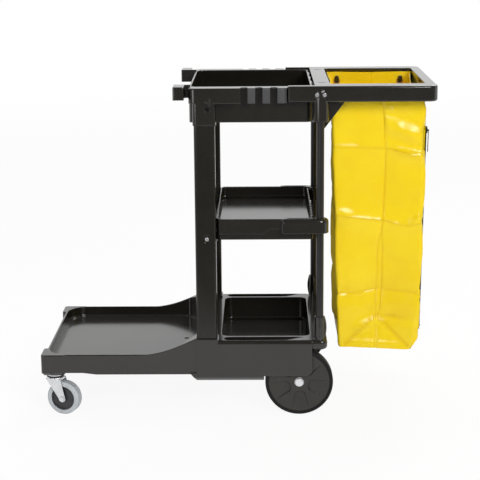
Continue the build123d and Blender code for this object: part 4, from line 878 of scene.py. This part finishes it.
def row_height(c, x, foot, top):
    """Height of a row of the grid, whose share of all the rows is c."""
    folds = [along(row[0], x) for row in reversed(CROSS_FOLDS)]
    shares = [row / ROWS for row in (0, *FOLD_ROWS, ROWS)]
    levels = list(zip(shares, (foot, *folds, top)))
    for (c0, z0), (c1, z1) in zip(levels, levels[1:]):
        if c <= c1 + SAME_ROW:
            return z0 + (z1 - z0) * spread((c - c0) / (c1 - c0))
    return top


print("height of the middle row:", round(row_height(0.5, 0.42, 0.19, bag_high.z), 3))

# %% [markdown]
# Two places of the cloth can't move freely. At the hooks the eyelets hold it, so nothing sways there.
# Behind the zip the stiff tape holds it flat, down to the tape's foot, and the seam stands beside that strip.

# %% Where the bag is held
eye_low, eye_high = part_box("bag_eyelets")
tape_low, tape_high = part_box("zipper_tape")
EYELET_REACH = 0.011
HOOK_STILL, HOOK_FREE = 0.013, 0.040
SHOULDER_Z, REAR_TAPER = 0.923, 0.0115
ZIP_BEHIND = 0.0012
STRIP_FADE, STRIP_FOOT = (0.015, 0.030), (0.040, 0.004)
ALL_HELD = 0.999
hook_x = (eye_low.x + EYELET_REACH, eye_high.x - EYELET_REACH)
hook_z = (eye_low.z + eye_high.z) / 2
zip_y = (tape_low.y + tape_high.y) / 2


def zip_strip(x, y, z):
    """Lays the rear end flat behind the zip, and raises the corner seam beside it."""
    face = bag_high.x - REAR_TAPER * (SHOULDER_Z - z) / (SHOULDER_Z - bag_low.z) - ZIP_BEHIND
    hold = 1 - smooth_step(*STRIP_FADE, abs(y - zip_y))
    hold *= smooth_step(tape_low.z - STRIP_FOOT[0], tape_low.z - STRIP_FOOT[1], z)
    if z < SHOULDER_Z:
        x = x * (1 - hold) + min(x, face) * hold
        x = x if hold < ALL_HELD else face
    return x + SEAM_RISE * seam_share(x, y, z, zip_y - SEAM_OUT)


print("hooks at X:", [round(x, 3) for x in hook_x], "zip at Y:", round(zip_y, 3))

# %% [markdown]
# A section of the bag is a rectangle with round corners, and its walls stand where the corners were measured.
# To round its corners, a point goes to the nearest place on a smaller core, and one step out from there.

# %% Bag sections
BAG_ROUND = 0.011
TOP_Y, FOOT_Y = 0.2103, 0.2005


def bag_section(c, z, far):
    """Left and right wall at a height, from the near side, 0, to the far side, 1, and half of the depth."""
    left = along(NEAR_LEFT, z) * (1 - far) + along(FAR_LEFT, z) * far
    right = along(NEAR_RIGHT, z) * (1 - far) + along(FAR_RIGHT, z) * far
    return left, right, FOOT_Y + (TOP_Y - FOOT_Y) * c


def to_core(share, half):
    """The nearest place on the core of a section, which is smaller by the round of the corners."""
    return max(BAG_ROUND - half, min(half - BAG_ROUND, share * half))


print("middle section, walls and half depth:", [round(v, 3) for v in bag_section(0.5, 0.582, 0.0)])

# %% [markdown]
# Now each point of the blank gets its place: a height and a place between the corners, round corners,
# the folds with a slow random sway, the strip behind the zip, a soft foot, and the sag of the top edge
# between its hooks. The inner end of the top, beside the tray, sags less than the rear end.

# %% Bag shape
BORDER = 0.9999
SWAY_TALL = 0.8
SWAY_SLOW, SWAY_QUICK = (0.060, 0.0030), (0.022, 0.0009)
FOOT_BULGE, FOOT_FLAT, FOOT_SWAY = 0.004, 8, (0.05, 0.001)
SAG_START = 0.90
SAG_REAR, SAG_FRONT = (0.030, 0.012), (0.016, 0.006)
BAND_SAG, BAND_HOLD = 0.002, 0.06


def wave(point, size, rise):
    """Soft random unevenness."""
    return rise * noise.noise(point / size)


def bag_place(grid):
    """Where a point of the blank stands on the bag. Its shares of width, depth and height are a, b and c."""
    a, b, c = spread(grid.x), spread(grid.y), (grid.z + 1) / 2
    guess = bag_low.x + (bag_high.x - bag_low.x) * (a + 1) / 2
    foot = along(FOOT, guess)
    z = row_height(c, guess, foot, bag_high.z)
    left, right, hy = bag_section(c, z, (b + 1) / 2)
    mid, hx = (left + right) / 2, (right - left) / 2
    a += (1 - abs(a)) * (along(VALLEY_X, z) - mid) / hx
    core_x, core_y = to_core(a, hx), to_core(b, hy)
    out = Vector((a * hx - core_x, b * hy - core_y))
    side = out.normalized() if out.length > 0 else Vector((0, 0))
    edge = max(abs(a), abs(b))
    wall = grid.z > -BORDER or edge > BORDER
    x, y = mid + a * hx, b * hy
    if out.length > 0 and wall:
        x, y = mid + core_x + side.x * BAG_ROUND, core_y + side.y * BAG_ROUND
    wide = side.y ** 2 if wall else 0.0
    narrow = side.x ** 2 if wall else 0.0

    near_hook = min(math.hypot(x - h, z - hook_z) for h in hook_x)
    across = math.cos(math.pi / 2 * min(1.0, abs(y) / (hy - BAG_ROUND)))
    point = Vector((x, y, z * SWAY_TALL))
    sway = wave(point, *SWAY_SLOW) + wave(point, *SWAY_QUICK)
    move = wide * wide_face_move(x, z, left, right, foot) + (wide + narrow) * sway
    move *= smooth_step(HOOK_STILL, HOOK_FREE, near_hook)
    if narrow > 0:
        move += narrow * end_face_move(x, y, z, hy - BAG_ROUND)
    x += side.x * move
    y += side.y * move
    if a > 0 and narrow > 0:
        x = zip_strip(x, y, z)
    if not wall:
        z += FOOT_BULGE * (1 - edge ** FOOT_FLAT) + wave(point, *FOOT_SWAY)

    sag = smooth_step(SAG_START, 1.0, c)
    drop, lean_in = SAG_REAR if a > 0 else SAG_FRONT
    z -= sag * narrow * across * drop
    x -= sag * side.x * narrow * across * lean_in
    z -= sag * BAND_SAG * wide * (1 - math.exp(-((near_hook / BAND_HOLD) ** 2)))
    return x, y, z


for vertex in bag.data.vertices:
    vertex.co = bag_place(vertex.co)
print("bag reaches:", round(min(v.co.z for v in bag.data.vertices), 3))

# %% [markdown]
# The cloth has a thickness, and a Solidify modifier gives it inwards, so the outside stays where it was made.
# The eyelets need holes. Each is punched through both wide faces at once, with a long cylinder.

# %% Bag wall and hook holes
THICK = 0.0012
PUNCH = {"vertices": 32, "radius": 0.0079, "depth": 0.6}
SMOOTH_BELOW = math.radians(40)


def pick(piece):
    """Makes a piece the only selected one, and the active one."""
    bpy.ops.object.select_all(action="DESELECT")
    piece.select_set(True)
    bpy.context.view_layer.objects.active = piece


pick(bag)
bpy.ops.object.mode_set(mode="EDIT")
bpy.ops.mesh.select_all(action="SELECT")
bpy.ops.mesh.normals_make_consistent(inside=False)
bpy.ops.object.mode_set(mode="OBJECT")
bag_area = sum(face.area for face in bag.data.polygons)
thicken = bag.modifiers.new("thicken", "SOLIDIFY")
thicken.thickness = THICK
thicken.offset = -1
bpy.ops.object.modifier_apply(modifier=thicken.name)
for x in hook_x:
    bpy.ops.object.select_all(action="DESELECT")
    bpy.ops.mesh.primitive_cylinder_add(location=(x, 0, hook_z), rotation=(math.pi / 2, 0, 0), **PUNCH)
    punch = bpy.context.object
    bpy.context.view_layer.objects.active = bag
    hole = bag.modifiers.new("hole", "BOOLEAN")
    hole.operation = "DIFFERENCE"
    hole.object = punch
    bpy.ops.object.modifier_apply(modifier=hole.name)
    bpy.data.objects.remove(punch)
pick(bag)
bpy.ops.object.shade_smooth_by_angle(angle=SMOOTH_BELOW)
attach(bag, "cart")
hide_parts("bag_body")
print("bag faces:", len(bag.data.polygons), "cloth area:", round(bag_area, 3))

# %% [markdown]
# A pressed crease gets painted shade, a darker line than the cloth beside it, and the inner end, towards the
# cart, is matt.
# Both are written on the points of the mesh as attributes, which the finish then reads.

# %% Fold marks
FACING = (0.6, 0.9)
VALLEY_TOP, END_TOP = 0.93, 0.86
CROSS_MARK, VALLEY_MARK, FOOT_MARK, END_MARK = 1.0, 0.8, 1.2, 0.7
FOOT_MARK_WIDE = 1.5
STRIP_CLEAR = (0.015, 0.026)
INNER_END = (0.5, 0.9)


def wide_face_mark(x, z):
    """How much a point of a wide face lies on a crease."""
    across = min(from_line(x, z, row[0])[0] for row in FOLDS)
    slanted = min(from_line(x, z, line)[0] for line in FOOT_FOLDS)
    upright = 1.0
    if APEX < z < VALLEY_TOP:
        upright = abs(abs(x - along(VALLEY_X, z)) - along(VALLEY_FLOOR, z))
    on_valley = VALLEY_MARK - upright / CREASE
    on_foot = FOOT_MARK - slanted / CREASE / FOOT_MARK_WIDE
    return min(1.0, max(CROSS_MARK - across / CREASE, on_valley, on_foot, 0.0))


def end_face_mark(x, y, z):
    """How much a point of an end lies on a crease."""
    on_valley = VALLEY_MARK - abs(y) / CREASE if z < END_TOP else 0.0
    on_folds = max(CROSS_MARK - abs(z - along(row[0], x)) / CREASE for row in CROSS_FOLDS)
    return max(0.0, on_valley, on_folds)


# The crease mark drives the painted shade along the creases.
crease_shade = bag.data.attributes.new("crease_shade", "FLOAT", "POINT")
gusset = bag.data.attributes.new("gusset", "FLOAT", "POINT")
for vertex, crease_shade_value, gusset_mark in zip(bag.data.vertices, crease_shade.data, gusset.data):
    x, y, z = vertex.co
    wide = smooth_step(*FACING, abs(vertex.normal.y))
    end = smooth_step(*FACING, abs(vertex.normal.x)) * (1 - smooth_step(*STRIP_CLEAR, abs(y - zip_y)))
    crease_shade_value.value = wide * wide_face_mark(x, z) + END_MARK * end * end_face_mark(x, y, z)
    gusset_mark.value = smooth_step(*INNER_END, -vertex.normal.x)
print("points on a crease:", sum(crease_shade_mark.value > 0 for crease_shade_mark in crease_shade.data))

# %% [markdown]
# The cloth is coated with soft yellow plastic: even in colour, with a broken gloss and a fine crumple.
# The crumple is a bump, because it is finer than the grid. The creases are painted browner, as painted shade
# in the folds.

# %% Bag finish
# The crease tone is painted shade: the creases are mixed towards it.
CREASE_SHADE_TONE, CREASE_SHADE_SHARE = (0.66, 0.37, 0.003, 1), 0.45
VINYL_DARK, VINYL_LIGHT = (0.88, 0.61, 0.006), (0.91, 0.67, 0.008)
VINYL_SHINE, VINYL_ROUGH = 0.35, (0.19, 0.30)
VINYL_FINE, VINYL_SLOW = 420.0, 9.0
CRUMPLE_SCALE, CRUMPLE_DETAIL, CRUMPLE_STRENGTH, CRUMPLE_DEPTH = 26.0, 5.0, 0.30, 0.004

vinyl = bpy.data.materials.new("yellow_vinyl")
made, links, out = shader_tree(vinyl)
shade = made.new("ShaderNodeBsdfPrincipled")
shade.inputs["Specular IOR Level"].default_value = VINYL_SHINE
links.new(shade.outputs[0], out.inputs["Surface"])
skin = use_group(made, grain, Fine=VINYL_FINE, Slow=VINYL_SLOW)
crease_shade_mark = made.new("ShaderNodeAttribute")
crease_shade_mark.attribute_name = "crease_shade"
# Painted shade: the base colour is mixed towards the crease tone along the creases.
crease_shaded = made.new("ShaderNodeMix")
crease_shaded.data_type = "RGBA"
crease_shaded.inputs["B"].default_value = CREASE_SHADE_TONE
links.new(ramp(made, links, skin.outputs["Mottle"], VINYL_DARK, VINYL_LIGHT), crease_shaded.inputs["A"])
links.new(math_node(vinyl.node_tree, "MULTIPLY", crease_shade_mark.outputs["Fac"], CREASE_SHADE_SHARE), crease_shaded.inputs["Factor"])
links.new(crease_shaded.outputs["Result"], shade.inputs["Base Color"])
inner = made.new("ShaderNodeAttribute")
inner.attribute_name = "gusset"
gloss = span(made, links, skin.outputs["Mottle"], *VINYL_ROUGH)
links.new(math_node(vinyl.node_tree, "MAXIMUM", gloss, inner.outputs["Fac"]), shade.inputs["Roughness"])
crumple = made.new("ShaderNodeTexNoise")
crumple.inputs["Scale"].default_value = CRUMPLE_SCALE
crumple.inputs["Detail"].default_value = CRUMPLE_DETAIL
spot = made.new("ShaderNodeTexCoord")
links.new(spot.outputs["Object"], crumple.inputs["Vector"])
relief = made.new("ShaderNodeBump")
relief.inputs["Strength"].default_value = CRUMPLE_STRENGTH
relief.inputs["Distance"].default_value = CRUMPLE_DEPTH
links.new(crumple.outputs["Fac"], relief.inputs["Height"])
links.new(relief.outputs[0], shade.inputs["Normal"])
bag.data.materials.clear()
bag.data.materials.append(vinyl)
print("bag finish:", vinyl.name)

# %% [markdown]
# ## The zip
# The CAD model has the zip as a woven tape with a plain bar for its coil, because a solid for every tooth
# would be slow. Here the tape is a thin strip with a soft hem, and its teeth stand on it, where they reach
# past each other from both sides. Tape and teeth are made flat, along Y, and then put in place together.

# %% Zip tape
TAPE_WIDE, TAPE_THICK, TAPE_GAP = 0.028, 0.001, 0.0003
TOOTH_LONG, COIL_WIDE, COIL_THICK = 0.0045, 0.006, 0.0022
SOFT_EDGE, EDGE_STEPS = 0.0003, 2
length = tape_high.z - tape_low.z


def soften(piece, name):
    """Rounds the edges of a small piece."""
    rounded = piece.modifiers.new(name, "BEVEL")
    rounded.width = SOFT_EDGE
    rounded.segments = EDGE_STEPS
    bpy.ops.object.modifier_apply(modifier=rounded.name)


bpy.ops.object.select_all(action="DESELECT")
bpy.ops.mesh.primitive_cube_add(size=1, location=(0, -length / 2, TAPE_GAP + TAPE_THICK / 2))
tape = bpy.context.object
tape.name = "zip_tape"
tape.scale = (TAPE_WIDE, length, TAPE_THICK)
bpy.ops.object.transform_apply(location=True, rotation=True, scale=True)
soften(tape, "hem")
tape.data.materials.append(zip_weave)
print("tape length:", round(length, 3))

# %% [markdown]
# One pair of teeth is made from two cylinders, one from each side, and an array repeats it down the tape.

# %% Zip teeth
PAIR = 0.004
TOOTH_SHARE = 0.46
END_ROOM = 0.008
TOOTH_SIDES = 12

bpy.ops.object.select_all(action="DESELECT")
teeth = []
for side in (-1, 1):
    middle = (
        side * (COIL_WIDE - TOOTH_LONG) / 2,
        -PAIR / 2 + side * PAIR / 4,
        TAPE_GAP + TAPE_THICK + COIL_THICK / 2,
    )
    bpy.ops.mesh.primitive_cylinder_add(
        vertices=TOOTH_SIDES, radius=0.5, depth=1, location=middle, rotation=(0, math.pi / 2, 0)
    )
    tooth = bpy.context.object
    tooth.scale = (COIL_THICK, TOOTH_SHARE * PAIR, TOOTH_LONG)
    teeth.append(tooth)
for tooth in teeth:
    tooth.select_set(True)
bpy.ops.object.join()
pair = bpy.context.object
bpy.ops.object.transform_apply(location=True, rotation=True, scale=True)
soften(pair, "rounded")
row = pair.modifiers.new("row", "ARRAY")
row.use_relative_offset = False
row.use_constant_offset = True
row.constant_offset_displace = (0, -PAIR, 0)
row_count = int((length - END_ROOM) / PAIR)
row.count = row_count
bpy.ops.object.modifier_apply(modifier=row.name)
pair.data.materials.append(zip_enamel)
print("zip teeth:", 2 * row_count)

# %% [markdown]
# The rear end of the bag tapers to its foot, so the zip leans with it. A matrix whose axes are the tape's
# width, its length and the way out turns the flat zip onto that face. It goes into the mesh, and
# the object stays at the origin. The bag is one sheet of cloth, with the zip sewn to it.

# %% Zip in place
lean = REAR_TAPER / (SHOULDER_Z - bag_low.z)
up = Vector((lean, 0, 1)).normalized()
outward = Vector((up.z, 0, -up.x))
crown = TAPE_GAP + TAPE_THICK + COIL_THICK
zip_top = Vector((tape_high.x - crown * outward.x, zip_y, tape_high.z))
zip_place = Matrix.Translation(zip_top) @ Matrix((Vector((0, 1, 0)), up, outward)).transposed().to_4x4()

bpy.ops.object.select_all(action="DESELECT")
pair.select_set(True)
tape.select_set(True)
bpy.context.view_layer.objects.active = tape
bpy.ops.object.join()
tape.data.transform(zip_place)
bpy.ops.object.shade_smooth_by_angle(angle=SMOOTH_BELOW)
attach(tape, "cart")
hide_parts("zipper_tape")
low = [min(v.co[i] for v in tape.data.vertices) for i in range(3)]
high = [max(v.co[i] for v in tape.data.vertices) for i in range(3)]
print("zip box:", [round(v, 4) for v in low + high])
